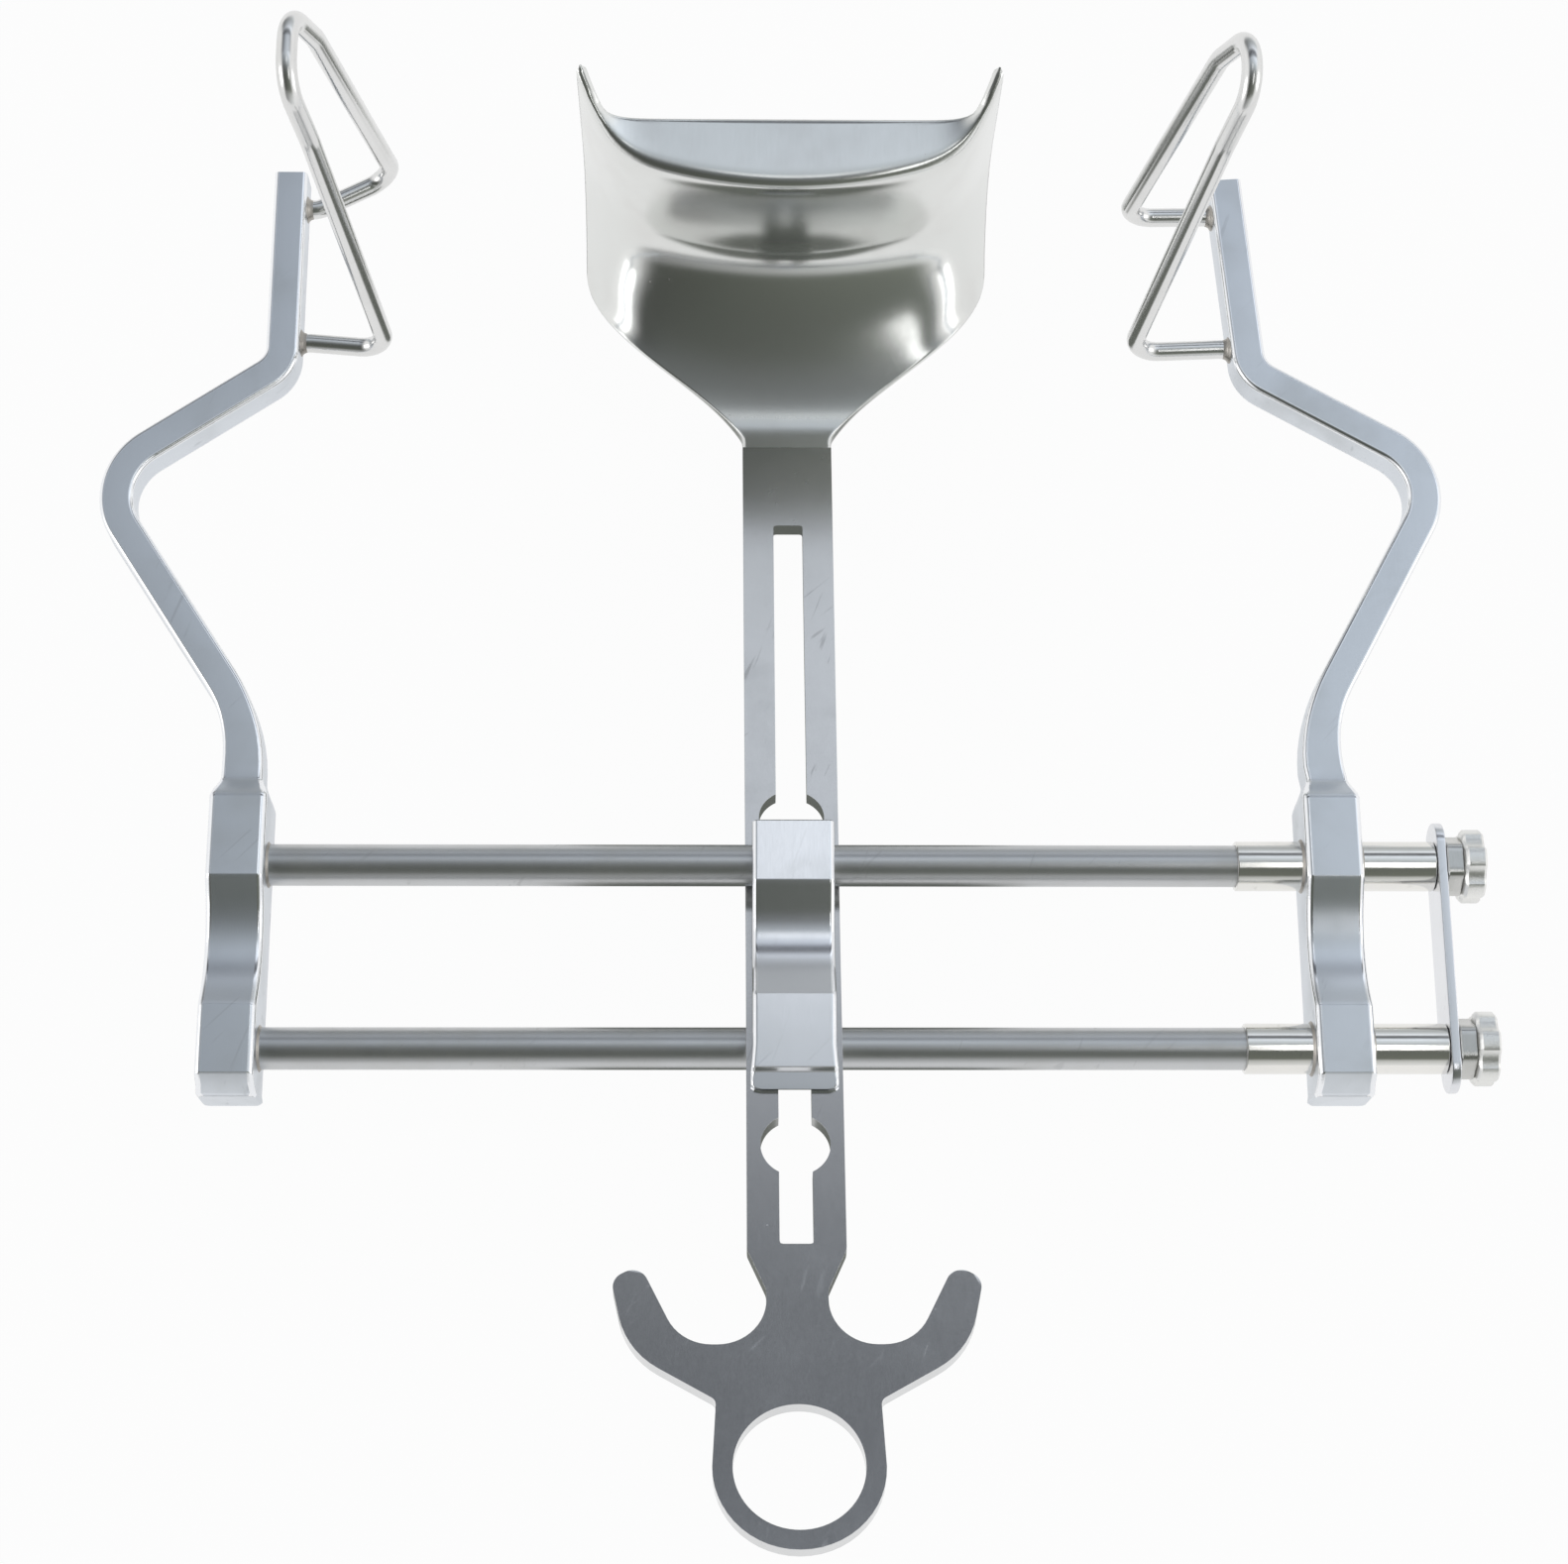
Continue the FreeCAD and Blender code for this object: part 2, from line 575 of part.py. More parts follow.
def handle_plate():
    """Makes the flat part of the centre blade: slotted shank, finger hooks and ring, in its own plane."""
    body = doc.addObject("PartDesign::Body", "handle_plate")
    tip_run = "(Sizes.hook_heel - Sizes.hook_tip)"
    right = [
        ("Sizes.neck_width / 2", "Sizes.neck_at"),
        ("Sizes.shank_width / 2 + 0.1", "0"),
        ("Sizes.shank_width / 2", "-Sizes.shank_end"),
        ("Sizes.waist_half", "-Sizes.waist_at"),
        ("Sizes.waist_half", "-Sizes.hook_root"),
        ("Sizes.hook_turn", "-Sizes.hook_root"),
        ("Sizes.hook_span - Sizes.hook_width * 0.876", "-Sizes.hook_tip"),
        ("Sizes.hook_span", "-(Sizes.hook_tip + Sizes.hook_width * 0.483)"),
        ("Sizes.hook_span - %s * 0.18" % tip_run, "-Sizes.hook_heel"),
        ("Sizes.ring_outer - 0.6", "-Sizes.ring_neck"),
        ("Sizes.ring_outer", "-Sizes.ring_at"),
        ("Sizes.ring_outer", "-(Sizes.ring_at + Sizes.ring_outer)"),
    ]
    last = 2 * len(right) - 1
    half_rounds = {2: "2.5", 3: "3", 4: "8.6", 5: "8.6", 6: "Sizes.hook_width * 0.49",
                   7: "Sizes.hook_width * 0.49", 8: "15", 9: "1.6", 11: "Sizes.ring_outer * 0.995"}
    rounds = dict(half_rounds)
    rounds.update({last - corner: radius for corner, radius in half_rounds.items()})
    plate = outline(body, "plate_outline", "XY_Plane", mirrored(right), rounds=rounds)
    pad(body, plate, "Sizes.shank_thickness")
    half = "Sizes.slot_width / 2"
    slot = outline(body, "slot", "XY_Plane", [
        (half, "Sizes.slot_top"), ("-" + half, "Sizes.slot_top"),
        ("-" + half, "-Sizes.slot_end"), (half, "-Sizes.slot_end"),
    ], rounds={2: "0.8", 3: "0.8"})
    pocket(body, slot)
    pocket(body, circles(body, "keyholes", "XY_Plane", [
        ("0", "Sizes.upper_keyhole", "Sizes.keyhole_radius"),
        ("0", "-Sizes.lower_keyhole", "Sizes.keyhole_radius")]))
    pocket(body, circles(body, "finger_ring", "XY_Plane", [("0", "-Sizes.ring_at", "Sizes.ring_inner")]))
    return body


def smooth_face(grid):
    """Returns a face that follows a net of control points, straight between rows if there are only two."""
    knots = []
    for count in (len(grid), len(grid[0])):
        degree = min(3, count - 1)
        knots.append((degree, list(range(count - degree + 1)),
                      [degree + 1] + [1] * (count - degree - 1) + [degree + 1]))
    surface = Part.BSplineSurface()
    surface.buildFromPolesMultsKnots(grid, knots[0][2], knots[1][2], knots[0][1], knots[1][1],
                                     False, False, knots[0][0], knots[1][0])
    return surface.toShape()


class Trough:
    """The curved end of the centre blade, drawn in the shank's plane as across, along and up.

    A place on its middle surface has two numbers. The first runs from 0 to 1 round the bend, to 2 up
    the wall, to 3 over the lip and to 4 along the lip's flat, with a short flat run below 0. The
    second runs from -1 to 1 across.
    """

    rows = ([-1.0, -0.4] + [step / 8 for step in range(9)] + [1.45, 1.85, 2.15, 2.5, 2.85]
            + [3.15, 3.6, 4.0])
    columns = [math.sin(math.pi / 2 * step / 8) for step in range(-8, 9)]

    def __init__(self):
        self.run = value("Sizes.neck_run")
        self.neck = value("Sizes.neck_at") + self.run
        self.bend = value("Sizes.trough_bend")
        self.wall = value("Sizes.trough_wall")
        self.half = value("Sizes.trough_half")
        self.bow = value("Sizes.trough_bow")
        self.horn = value("Sizes.trough_horn")
        self.lip = value("Sizes.lip_bend")
        self.reach = value("Sizes.lip_reach")
        self.thin = value("Sizes.trough_thickness")
        self.thick = value("Sizes.shank_thickness")
        self.neck_half = value("Sizes.neck_width") / 2
        self.turn = math.pi / 2 + math.radians(value(TILT))

    def half_width(self, share):
        """Returns half the blade's width at a share of the way round the bend."""
        rise = min(1.0, share / 0.68)
        smooth = rise * rise * (3 - 2 * rise)
        return self.neck_half + (self.half - self.neck_half) * (0.5 * rise + 0.5 * smooth)

    def sag(self, across):
        """Returns how far the sheet falls back from its middle line at a distance across."""
        beyond = max(0.0, abs(across) - self.half * 0.74)
        return across * across / (2 * self.bow) + 0.095 * beyond * beyond

    def bent(self, share, column):
        """Returns a point on the bend."""
        across = self.half_width(share) * column
        angle = self.turn * share
        drop = self.sag(across) * share * share * (3 - 2 * share)
        return VECTOR(across, self.neck + (self.bend + drop) * math.sin(angle),
                      self.bend - (self.bend + drop) * math.cos(angle))

    def point(self, row, column):
        """Returns a point of the middle surface."""
        if row <= 0:
            return VECTOR(self.neck_half * column, self.neck + row * self.run, 0)
        if row <= 1:
            return self.bent(row, column)
        beyond = max(0.0, abs(column) - 0.76) / 0.24
        rise = (self.wall + self.horn * beyond * beyond) * min(1.0, row - 1)
        room = self.reach - self.sag(self.half * column)
        rolled = max(0.0, min(1.0, (room - 0.5) / 6.5))
        curl = math.pi / 2 * (0.12 + 0.88 * rolled * rolled * (3 - 2 * rolled))
        radius = self.lip * math.pi / 2 / curl
        angle = curl * max(0.0, min(1.0, row - 2))
        flat = max(1.0, room - radius * (1 - math.cos(curl))) * max(0.0, row - 3)
        rise += radius * math.sin(angle) + flat * math.cos(angle)
        out = radius * (1 - math.cos(angle)) + flat * math.sin(angle)
        return self.bent(1, column) + VECTOR(
            0, rise * math.cos(self.turn) + out * math.sin(self.turn),
            rise * math.sin(self.turn) - out * math.cos(self.turn))

    def normal(self, row, column):
        """Returns the direction that points out of the front face."""
        step = 0.002
        along = self.point(min(row + step, 4), column) - self.point(row - step, column)
        across = self.point(row, min(column + step, 1)) - self.point(row, max(column - step, -1))
        return across.cross(along).normalize()

    def net(self, side):
        """Returns one face's control points in rows, side being 1 for the front and -1 for the back."""
        grid = []
        for row in self.rows:
            half = (self.thick + (self.thin - self.thick) * max(0.0, min(1.0, row / 0.7))) / 2
            grid.append([self.point(row, column) + self.normal(row, column) * half * side
                         for column in self.columns])
        return grid

    def solid(self):
        """Returns the sheet as a solid, thick at the neck and thin at the lip."""
        front = self.net(1)
        back = self.net(-1)
        rims = [[front[0], back[0]], [front[-1], back[-1]],
                [[row[0] for row in front], [row[0] for row in back]],
                [[row[-1] for row in front], [row[-1] for row in back]]]
        shell = Part.makeCompound([smooth_face(grid) for grid in [front, back] + rims])
        shell.sewShape()
        result = Part.Solid(shell.Shells[0])
        if result.Volume < 0:
            result.reverse()
        return result


def centre_blade():
    """Joins the flat shank and handle to the trough and tilts them between the rods."""
    plate = handle_plate()
    trough = doc.addObject("Part::Feature", "trough")
    trough.Shape = Trough().solid()
    blade = doc.addObject("Part::MultiFuse", "centre_blade")
    blade.Shapes = [plate, trough]
    blade.Label = "centre_blade"
    blade.Placement.Rotation = FreeCAD.Rotation(VECTOR(-1, 0, 0), value(TILT))
    blade.setExpression("Placement.Rotation.Angle", TILT)
    place(blade, x="Sizes.saddle_station")
    return blade


sleeve_bore = "Sizes.rod_diameter / 2 + Sizes.running_gap + Sizes.sleeve_wall + Sizes.seat_gap"
nodes = [
    block_and_arm("fixed_arm", "-1", "0", "Sizes.rod_diameter / 2 + Sizes.seat_gap"),
    block_and_arm("sliding_arm", "1", "Sizes.sliding_lean", sleeve_bore),
    wire_blade("fixed_wire_blade", -1, "0", "0"),
    wire_blade("sliding_wire_blade", 1, "Sizes.sliding_lean", SLIDING),
    rod("upper_rod", ROD_Y),
    rod("lower_rod", "-" + ROD_Y),
    guide_sleeve("upper_guide_sleeve", ROD_Y),
    guide_sleeve("lower_guide_sleeve", "-" + ROD_Y),
    end_plate(),
    thumb_screw("upper_thumb_screw", ROD_Y),
    thumb_screw("lower_thumb_screw", "-" + ROD_Y),
    centre_saddle(),
    centre_blade(),
]
place(nodes[1], x=SLIDING)
place(nodes[0])
doc.recompute()

for item in doc.Objects:
    if "Invalid" in item.State or "Error" in item.State:
        raise RuntimeError("%s did not build: %s" % (item.Name, item.State))
os.makedirs("parts", exist_ok=True)
for piece in nodes:
    shape = piece.Shape
    if shape.isNull() or not shape.isValid() or not shape.Solids:
        raise RuntimeError("%s has no sound solid" % piece.Label)
    shape.exportStep("parts/%s.step" % piece.Label)
    box = shape.BoundBox
    print("%-22s solids %d faces %3d volume %9.1f  x %.1f..%.1f  y %.1f..%.1f  z %.1f..%.1f" % (
        piece.Label, len(shape.Solids), len(shape.Faces), shape.Volume,
        box.XMin, box.XMax, box.YMin, box.YMax, box.ZMin, box.ZMax))
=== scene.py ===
"""Dresses a packed self-retaining retractor as polished surgical steel for a studio photograph.

Lengths inside the piece builders are millimetres in the part's own frame, the one the CAD uses: +X runs
along the rods to the thumb screws, +Y from the finger ring to the blades and +Z from the blocks' backs
to the tips of the side blades. Every finished mesh is scaled to metres as its object is made.
"""

import logging
import math
from collections.abc import Callable, Sequence
from dataclasses import dataclass, field
from enum import Enum

import bmesh
import bpy
from mathutils import Matrix, Quaternion, Vector

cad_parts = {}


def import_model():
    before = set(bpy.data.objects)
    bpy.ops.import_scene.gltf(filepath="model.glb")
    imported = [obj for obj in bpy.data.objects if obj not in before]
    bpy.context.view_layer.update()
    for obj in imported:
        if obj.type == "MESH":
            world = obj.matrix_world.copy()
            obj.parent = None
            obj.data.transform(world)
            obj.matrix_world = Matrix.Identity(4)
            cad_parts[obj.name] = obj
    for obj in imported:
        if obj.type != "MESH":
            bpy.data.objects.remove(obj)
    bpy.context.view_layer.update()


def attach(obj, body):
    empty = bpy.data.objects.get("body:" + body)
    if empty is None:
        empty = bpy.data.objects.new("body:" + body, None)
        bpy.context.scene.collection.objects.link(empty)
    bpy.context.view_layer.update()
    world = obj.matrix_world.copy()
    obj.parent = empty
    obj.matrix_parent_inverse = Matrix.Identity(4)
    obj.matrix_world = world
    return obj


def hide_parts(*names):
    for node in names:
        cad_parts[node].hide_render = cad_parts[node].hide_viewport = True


Mesh = bmesh.types.BMesh
Piece = bpy.types.Object
Tree = bpy.types.NodeTree
Socket = bpy.types.NodeSocket
Point2 = tuple[float, float]
Colour = tuple[float, float, float]
Value = Socket | float | Colour

LOG = logging.getLogger("retractor")
MM = 0.001
EDGE_LAYER = "edge"
SLOT_LAYER = "ring_slot"
CORNER_STEPS = 3
FULLEST_CORNER = 0.98
LONGEST_REACH = 0.97
MERGE = 0.0005
TINY = 0.001
SMOOTH_ANGLE = 32.0
FLATS_WEIGHT = 60
WHITE = (1.0, 1.0, 1.0)
X_AXIS = Vector((1, 0, 0))
Y_AXIS = Vector((0, 1, 0))


class Side(Enum):
    """The two arms, each with the sign of its outward direction along X."""

    FIXED = -1
    SLIDING = 1


class Grain(Enum):
    """How a steel surface was finished, which sets the direction and size of its grain."""

    ALONG_Y = (14.0, 1.0, 14.0)
    ALONG_X = (1.0, 16.0, 16.0)
    TURNED = (10.0, 1.4, 1.4)
    BLASTED = (3.0, 3.0, 3.0)


@dataclass(frozen=True)
class Layout:
    """Places that several pieces share."""

    rod_y: float = 18.0
    rod_z: float = 7.0
    rod_radius: float = 4.0
    running_gap: float = 0.05
    sliding_x: float = 209.5
    saddle_x: float = 106.0
    rod_end_x: float = 229.5
    shank_thickness: float = 3.0
    shank_gap: float = 0.1

    @property
    def rods(self) -> Point2:
        """Places of the upper and the lower rod along Y."""
        return self.rod_y, -self.rod_y

    @property
    def tilt(self) -> float:
        """Angle of the shank, which passes over one rod and under the other."""
        return math.asin((self.rod_radius + self.shank_thickness / 2 + self.shank_gap) / self.rod_y)

    def shank_front(self, y: float) -> float:
        """Height of the shank's front face above the rods' plane at a place along Y, with its gap."""
        return -y * math.tan(self.tilt) + (self.shank_thickness / 2 + self.shank_gap) / math.cos(self.tilt)


LAYOUT = Layout()


# Shapes shared by the pieces


def clamp(value: float) -> float:
    """Keeps a value between 0 and 1."""
    return max(0.0, min(1.0, value))


def eased(share: float) -> float:
    """Makes an even run from 0 to 1 start and end slowly."""
    return share * share * (3 - 2 * share)


def circle(radius: float, steps: int, x: float = 0.0, y: float = 0.0) -> list[Point2]:
    """Lists the points of a circle."""
    turns = [math.tau * step / steps for step in range(steps)]
    return [(x + radius * math.cos(angle), y + radius * math.sin(angle)) for angle in turns]


def rounded_box(half_wide: float, low: float, high: float, corner: float) -> list[Point2]:
    """Lists an upright section with rounded corners, counter-clockwise from the right side.

    Args:
        half_wide: Half the width.
        low: Lower height.
        high: Upper height.
        corner: Radius of the corners.

    Returns:
        Pairs of sideways and upward distances.
    """
    half_high = (high - low) / 2
    corner = min(corner, half_wide * FULLEST_CORNER, half_high * FULLEST_CORNER)
    points = []
    for quarter, (side, end) in enumerate(((1, 1), (-1, 1), (-1, -1), (1, -1))):
        for step in range(CORNER_STEPS + 1):
            angle = math.pi / 2 * (quarter + step / CORNER_STEPS)
            points.append((side * (half_wide - corner) + corner * math.cos(angle),
                           (low + high) / 2 + end * (half_high - corner) + corner * math.sin(angle)))
    return points


def section(place: Vector, way: Vector, box: Sequence[Point2]) -> list[Vector]:
    """Stands a section of sideways and upward distances at a place, across a level direction."""
    return [place + Vector((way.y * across, -way.x * across, up)) for across, up in box]


def corner_arc(before: Vector, corner: Vector, after: Vector, radius: float) -> tuple[Vector, Vector, float]:
    """Fits an arc into a corner.

    Args:
        before: A place on the line to the corner.
        corner: The corner.
        after: A place on the line from it.
        radius: The arc's radius.

    Returns:
        The arc's start, its centre and the angle that it turns through.
    """
    back = (before - corner).normalized()
    ahead = (after - corner).normalized()
    half = back.angle(ahead) / 2
    return (corner + back * (radius / math.tan(half)),
            corner + (back + ahead).normalized() * (radius / math.sin(half)), math.pi - 2 * half)


def straight(start: Vector, end: Vector, run: float) -> list[tuple[Vector, Vector]]:
    """Lists places on a straight up to its end, no more than a run apart, with their direction."""
    count = max(1, math.ceil((end - start).length / run))
    return [(start.lerp(end, step / count), (end - start).normalized()) for step in range(count)]


def rounded_route(corners: Sequence[Vector], radii: Sequence[float], turn: float,
                  run: float = 12.0) -> list[tuple[Vector, Vector]]:
    """Walks a line from its first corner to its last, round a tangent arc at each corner between.

    Args:
        corners: The line's corners.
        radii: One radius for each inner corner, made smaller where two arcs would meet.
        turn: Degrees of turn between places on an arc.
        run: Longest distance between places on a straight.

    Returns:
        Places with the direction of travel at each.
    """
    reaches = [0.0, *((corner_arc(*corners[index:index + 3], radius)[0] - corners[index + 1]).length
                      for index, radius in enumerate(radii)), 0.0]
    fits = [min(1.0, (far - near).length * LONGEST_REACH / max(TINY, sum(pair)))
            for near, far, pair in zip(corners, corners[1:], zip(reaches, reaches[1:]))]
    places = []
    start = corners[0]
    for index, radius in enumerate(radii, start=1):
        before, here, after = corners[index - 1:index + 2]
        entry, centre, total = corner_arc(before, here, after, radius * min(fits[index - 1:index + 1]))
        places += straight(start, entry, run)
        toward, ahead = (here - before).normalized(), (after - here).normalized()
        axis = toward.cross(ahead).normalized()
        count = max(2, round(math.degrees(total) / turn))
        for step in range(count):
            spin = Quaternion(axis, total * step / count)
            places.append((centre + spin @ (entry - centre), spin @ toward))
        start = here + ahead * (entry - here).length
    end = corners[-1]
    return [*places, *straight(start, end, run), (end.copy(), (end - start).normalized())]


def rounded_outline(corners: Sequence[Point2], radii: dict[int, float], turn: float = 9.0) -> list[Point2]:
    """Lists a closed outline whose chosen corners are tangent arcs.

    Args:
        corners: The outline's corners in order.
        radii: Radius by corner number, for the corners that are rounded.
        turn: Degrees of turn between points of an arc.

    Returns:
        The outline's points.
    """
    points = []
    for index, corner in enumerate(corners):
        if index not in radii:
            points.append(corner)
            continue
        before, here, after = (Vector(corners[(index + step) % len(corners)]) for step in (-1, 0, 1))
        entry, centre, total = corner_arc(before, here, after, radii[index])
        steps = max(2, round(math.degrees(total) / turn))
        total = math.copysign(total, (here - before).cross(after - here))
        points += [tuple(centre + Matrix.Rotation(total * step / steps, 2) @ (entry - centre))
                   for step in range(steps + 1)]
    return points


def loft(bm: Mesh, outlines: Sequence[Sequence[Vector]]) -> None:
    """Extrudes a ring of vertices through a row of outlines and caps both ends.

    Args:
        bm: The mesh to add to.
        outlines: Points of each ring, as many in each.
    """
    slots = bm.verts.layers.int.get(SLOT_LAYER) or bm.verts.layers.int.new(SLOT_LAYER)
    ring = bmesh.ops.create_circle(bm, cap_ends=False, segments=len(outlines[0]), radius=1.0)["verts"]
    edges = first = list({edge for vert in ring for edge in vert.link_edges})
    for index, outline in enumerate(outlines):
        if index:
            made = bmesh.ops.extrude_edge_only(bm, edges=edges)["geom"]
            fresh = {item for item in made if isinstance(item, bmesh.types.BMVert)}
            ring = [next(edge.other_vert(vert) for edge in vert.link_edges if edge.other_vert(vert) in fresh)
                    for vert in ring]
            edges = [item for item in made
                     if isinstance(item, bmesh.types.BMEdge) and fresh.issuperset(item.verts)]
        for slot, (vert, point) in enumerate(zip(ring, outline)):
            vert.co = point
            vert[slots] = slot
    for loop in (first, edges):
        bmesh.ops.edgeloop_fill(bm, edges=loop)
    bmesh.ops.recalc_face_normals(bm, faces=bm.faces)


@dataclass
class SmoothNet:
    """A smooth surface that follows rows of control points, clamped at its rims."""

    net: Sequence[Sequence[Vector]]

    @staticmethod
    def blend(count: int, place: float) -> list[tuple[int, float]]:
        """Finds which control points a place depends on.

        Args:
            count: How many control points there are in the direction.
            place: The place, from 0 to count - 3.

        Returns:
            Pairs of control point and share.
        """
        knots = [0.0] * 3 + [float(step) for step in range(count - 2)] + [float(count - 3)] * 3
        span = min(int(place), count - 4) + 3
        shares = [1.0]
        for degree in range(1, 4):
            grown = [0.0] * (degree + 1)
            for index, share in enumerate(shares):
                low = knots[span - degree + 1 + index]
                part = (place - low) / (knots[span + 1 + index] - low)
                grown[index] += share * (1 - part)
                grown[index + 1] += share * part
            shares = grown
        return [(span - 3 + index, share) for index, share in enumerate(shares)]

    def at(self, row: float, column: float) -> Vector:
        """Places a point of the surface.

        Args:
            row: The place along the rows, from 0 to their number less 3.
            column: The place along the columns, from 0 to their number less 3.

        Returns:
            The point.
        """
        point = Vector((0.0, 0.0, 0.0))
        for line, row_share in self.blend(len(self.net), row):
            for item, column_share in self.blend(len(self.net[0]), column):
                point += self.net[line][item] * (row_share * column_share)
        return point


def even_steps(spans: int, parts: int, first: Sequence[float], last: Sequence[float]) -> list[float]:
    """Lists evenly spaced places with a few closer ones near the ends.

    Args:
        spans: The highest place.
        parts: How many places each whole step is divided into.
        first: Extra places near 0.
        last: Extra distances from the highest place.

    Returns:
        The places in order.
    """
    clear_of_first, clear_of_last = 0.08, 0.03
    far = [spans - distance for distance in last]
    low = max(first, default=0.0) + clear_of_first
    high = min(far, default=float(spans)) - clear_of_last
    plain = [step / parts for step in range(spans * parts + 1)]
    return sorted({*(place for place in plain if low < place < high), *first, *far, 0.0, float(spans)})


def rim_share(places: Sequence[Sequence[Vector]], line: int, column: int, width: float,
              least: float = 0.18) -> float:
    """Finds how much of a sheet's thickness is left at a place near its rounded rim.

    Args:
        places: The sheet's middle points in lines.
        line: The place's line; the first line is not a rim.
        column: The place's column.
        width: Width of the rounding.
        least: The share at the rim itself.

    Returns:
        The share, 1 away from the rim.
    """
    row = places[line]
    to_rim = math.inf
    for chain in (row[column::-1], row[column:], [other[column] for other in places[line:]]):
        to_rim = min(to_rim, sum((far - near).length for near, far in zip(chain, chain[1:])))
    inside = max(0.0, 1 - to_rim / width)
    return max(least, math.sqrt(1 - inside * inside))


def edge_layer(bm: Mesh) -> bmesh.types.BMLayerItem:
    """Finds the faces' layer that marks polished edges with a painted highlight, or adds it."""
    return bm.faces.layers.float.get(EDGE_LAYER) or bm.faces.layers.float.new(EDGE_LAYER)


def mark_corner_strips(bm: Mesh) -> None:
    """Marks the faces on the rounded corners of lofted sections as polished edges, which get a painted
    highlight.

    Args:
        bm: A mesh whose rings came from rounded_box.
    """
    slots = bm.verts.layers.int.get(SLOT_LAYER)
    edge = edge_layer(bm)
    for face in bm.faces:
        found = {vert[slots] for vert in face.verts}
        same_corner = len({slot // (CORNER_STEPS + 1) for slot in found}) == 1
        face[edge] = 1.0 if len(face.verts) == 4 and len(found) == 2 and same_corner else 0.0


def bevel_creases(bm: Mesh, width: float, segments: int, least: float = 40.0,
                  below: float = math.inf) -> None:
    """Rounds every crease sharper than an angle and marks the new faces as polished edges, which get a
    painted highlight.

    Args:
        bm: The mesh.
        width: Width of the rounding.
        segments: Faces across it.
        least: Smallest angle in degrees that counts as a crease.
        below: Creases that lie wholly at or past this place along Y stay sharp.
    """
    bm.normal_update()
    creases = [edge for edge in bm.edges
               if edge.is_manifold and math.degrees(edge.calc_face_angle(0.0)) > least
               and min(vert.co.y for vert in edge.verts) < below]
    made = bmesh.ops.bevel(bm, geom=creases, offset=width, offset_type="OFFSET", affect="EDGES",
                           segments=segments, profile=0.5, material=-1, clamp_overlap=True)
    edge = edge_layer(bm)
    for face in made["faces"]:
        if face.is_valid:
            face[edge] = 1.0


def flat_plate(bm: Mesh, outer: Sequence[Point2], holes: Sequence[Sequence[Point2]],
               thickness: float) -> None:
    """Fills an outline with its holes and thickens it about the XY plane.

    Args:
        bm: The mesh to add to.
        outer: The outer outline.
        holes: The outlines of the holes.
        thickness: The plate's thickness.
    """
    edges = []
    for loop in [outer, *holes]:
        verts = [bm.verts.new((x, y, -thickness / 2)) for x, y in loop]
        edges += [bm.edges.new((vert, verts[(index + 1) % len(verts)])) for index, vert in enumerate(verts)]
    filled = bmesh.ops.triangle_fill(bm, edges=edges, use_beauty=True, use_dissolve=False,
                                     normal=(0, 0, -1))["geom"]
    faces = [item for item in filled if isinstance(item, bmesh.types.BMFace)]
    raised = bmesh.ops.extrude_face_region(bm, geom=faces, use_keep_orig=True)["geom"]
    lifted = [item for item in raised if isinstance(item, bmesh.types.BMVert)]
    bmesh.ops.translate(bm, verts=lifted, vec=(0, 0, thickness))
    bmesh.ops.recalc_face_normals(bm, faces=bm.faces)


def stand_up(bm: Mesh, x: float) -> None:
    """Turns a plate from the XY plane into the YZ plane and moves it to its place by the rods."""
    turn = Matrix(((0, 0, 1, x), (1, 0, 0, 0), (0, 1, 0, LAYOUT.rod_z), (0, 0, 0, 1)))
    bmesh.ops.transform(bm, matrix=turn, verts=bm.verts)


def turned(bm: Mesh, profile: Sequence[Point2], centre: Vector, axis: Vector = X_AXIS,
           steps: int = 72, closed: bool = False) -> None:
    """Spins a profile round an axis.

    Args:
        bm: The mesh to add to.
        profile: Pairs of distance along the axis and radius.
        centre: Where the axis starts.
        axis: The axis, one long.
        steps: Faces round it.
        closed: Whether the profile is a loop, as for a tube.
    """
    spoke = axis.orthogonal().normalized()
    verts = [bm.verts.new(centre + axis * along + spoke * radius) for along, radius in profile]
    pairs = list(zip(verts, verts[1:])) + ([(verts[-1], verts[0])] if closed else [])
    edges = [bm.edges.new(pair) for pair in pairs]
    bmesh.ops.spin(bm, geom=verts + edges, cent=centre, axis=axis, dvec=(0, 0, 0), angle=math.tau,
                   steps=steps, use_merge=True, use_normal_flip=False, use_duplicate=False)
    bmesh.ops.remove_doubles(bm, verts=bm.verts, dist=MERGE)
    bmesh.ops.dissolve_degenerate(bm, edges=bm.edges, dist=MERGE)
    bmesh.ops.recalc_face_normals(bm, faces=bm.faces)


def as_object(bm: Mesh, name: str) -> Piece:
    """Turns a mesh in millimetres into a smooth-shaded object in metres at the origin.

    Args:
        bm: The finished mesh, which is freed.
        name: The object's name.

    Returns:
        The new object.
    """
    bmesh.ops.scale(bm, vec=(MM, MM, MM), verts=bm.verts)
    for face in bm.faces:
        face.smooth = True
    mesh = bpy.data.meshes.new(name)
    bm.to_mesh(mesh)
    bm.free()
    piece = bpy.data.objects.new(name, mesh)
    bpy.context.scene.collection.objects.link(piece)
    return piece


def finished(bm: Mesh, name: str, smooth_angle: float = SMOOTH_ANGLE) -> Piece:
    """Turns a mesh into a piece with sharp creases and even flats.

    Args:
        bm: The finished mesh, which is freed.
        name: The piece's name.
        smooth_angle: Creases sharper than this many degrees stay sharp.

    Returns:
        The new piece.
    """
    edge_layer(bm)
    piece = as_object(bm, name)
    piece.data.set_sharp_from_angle(angle=math.radians(smooth_angle))
    weigh = piece.modifiers.new("even_flats", "WEIGHTED_NORMAL")
    weigh.keep_sharp = True
    weigh.weight = FLATS_WEIGHT
    return piece


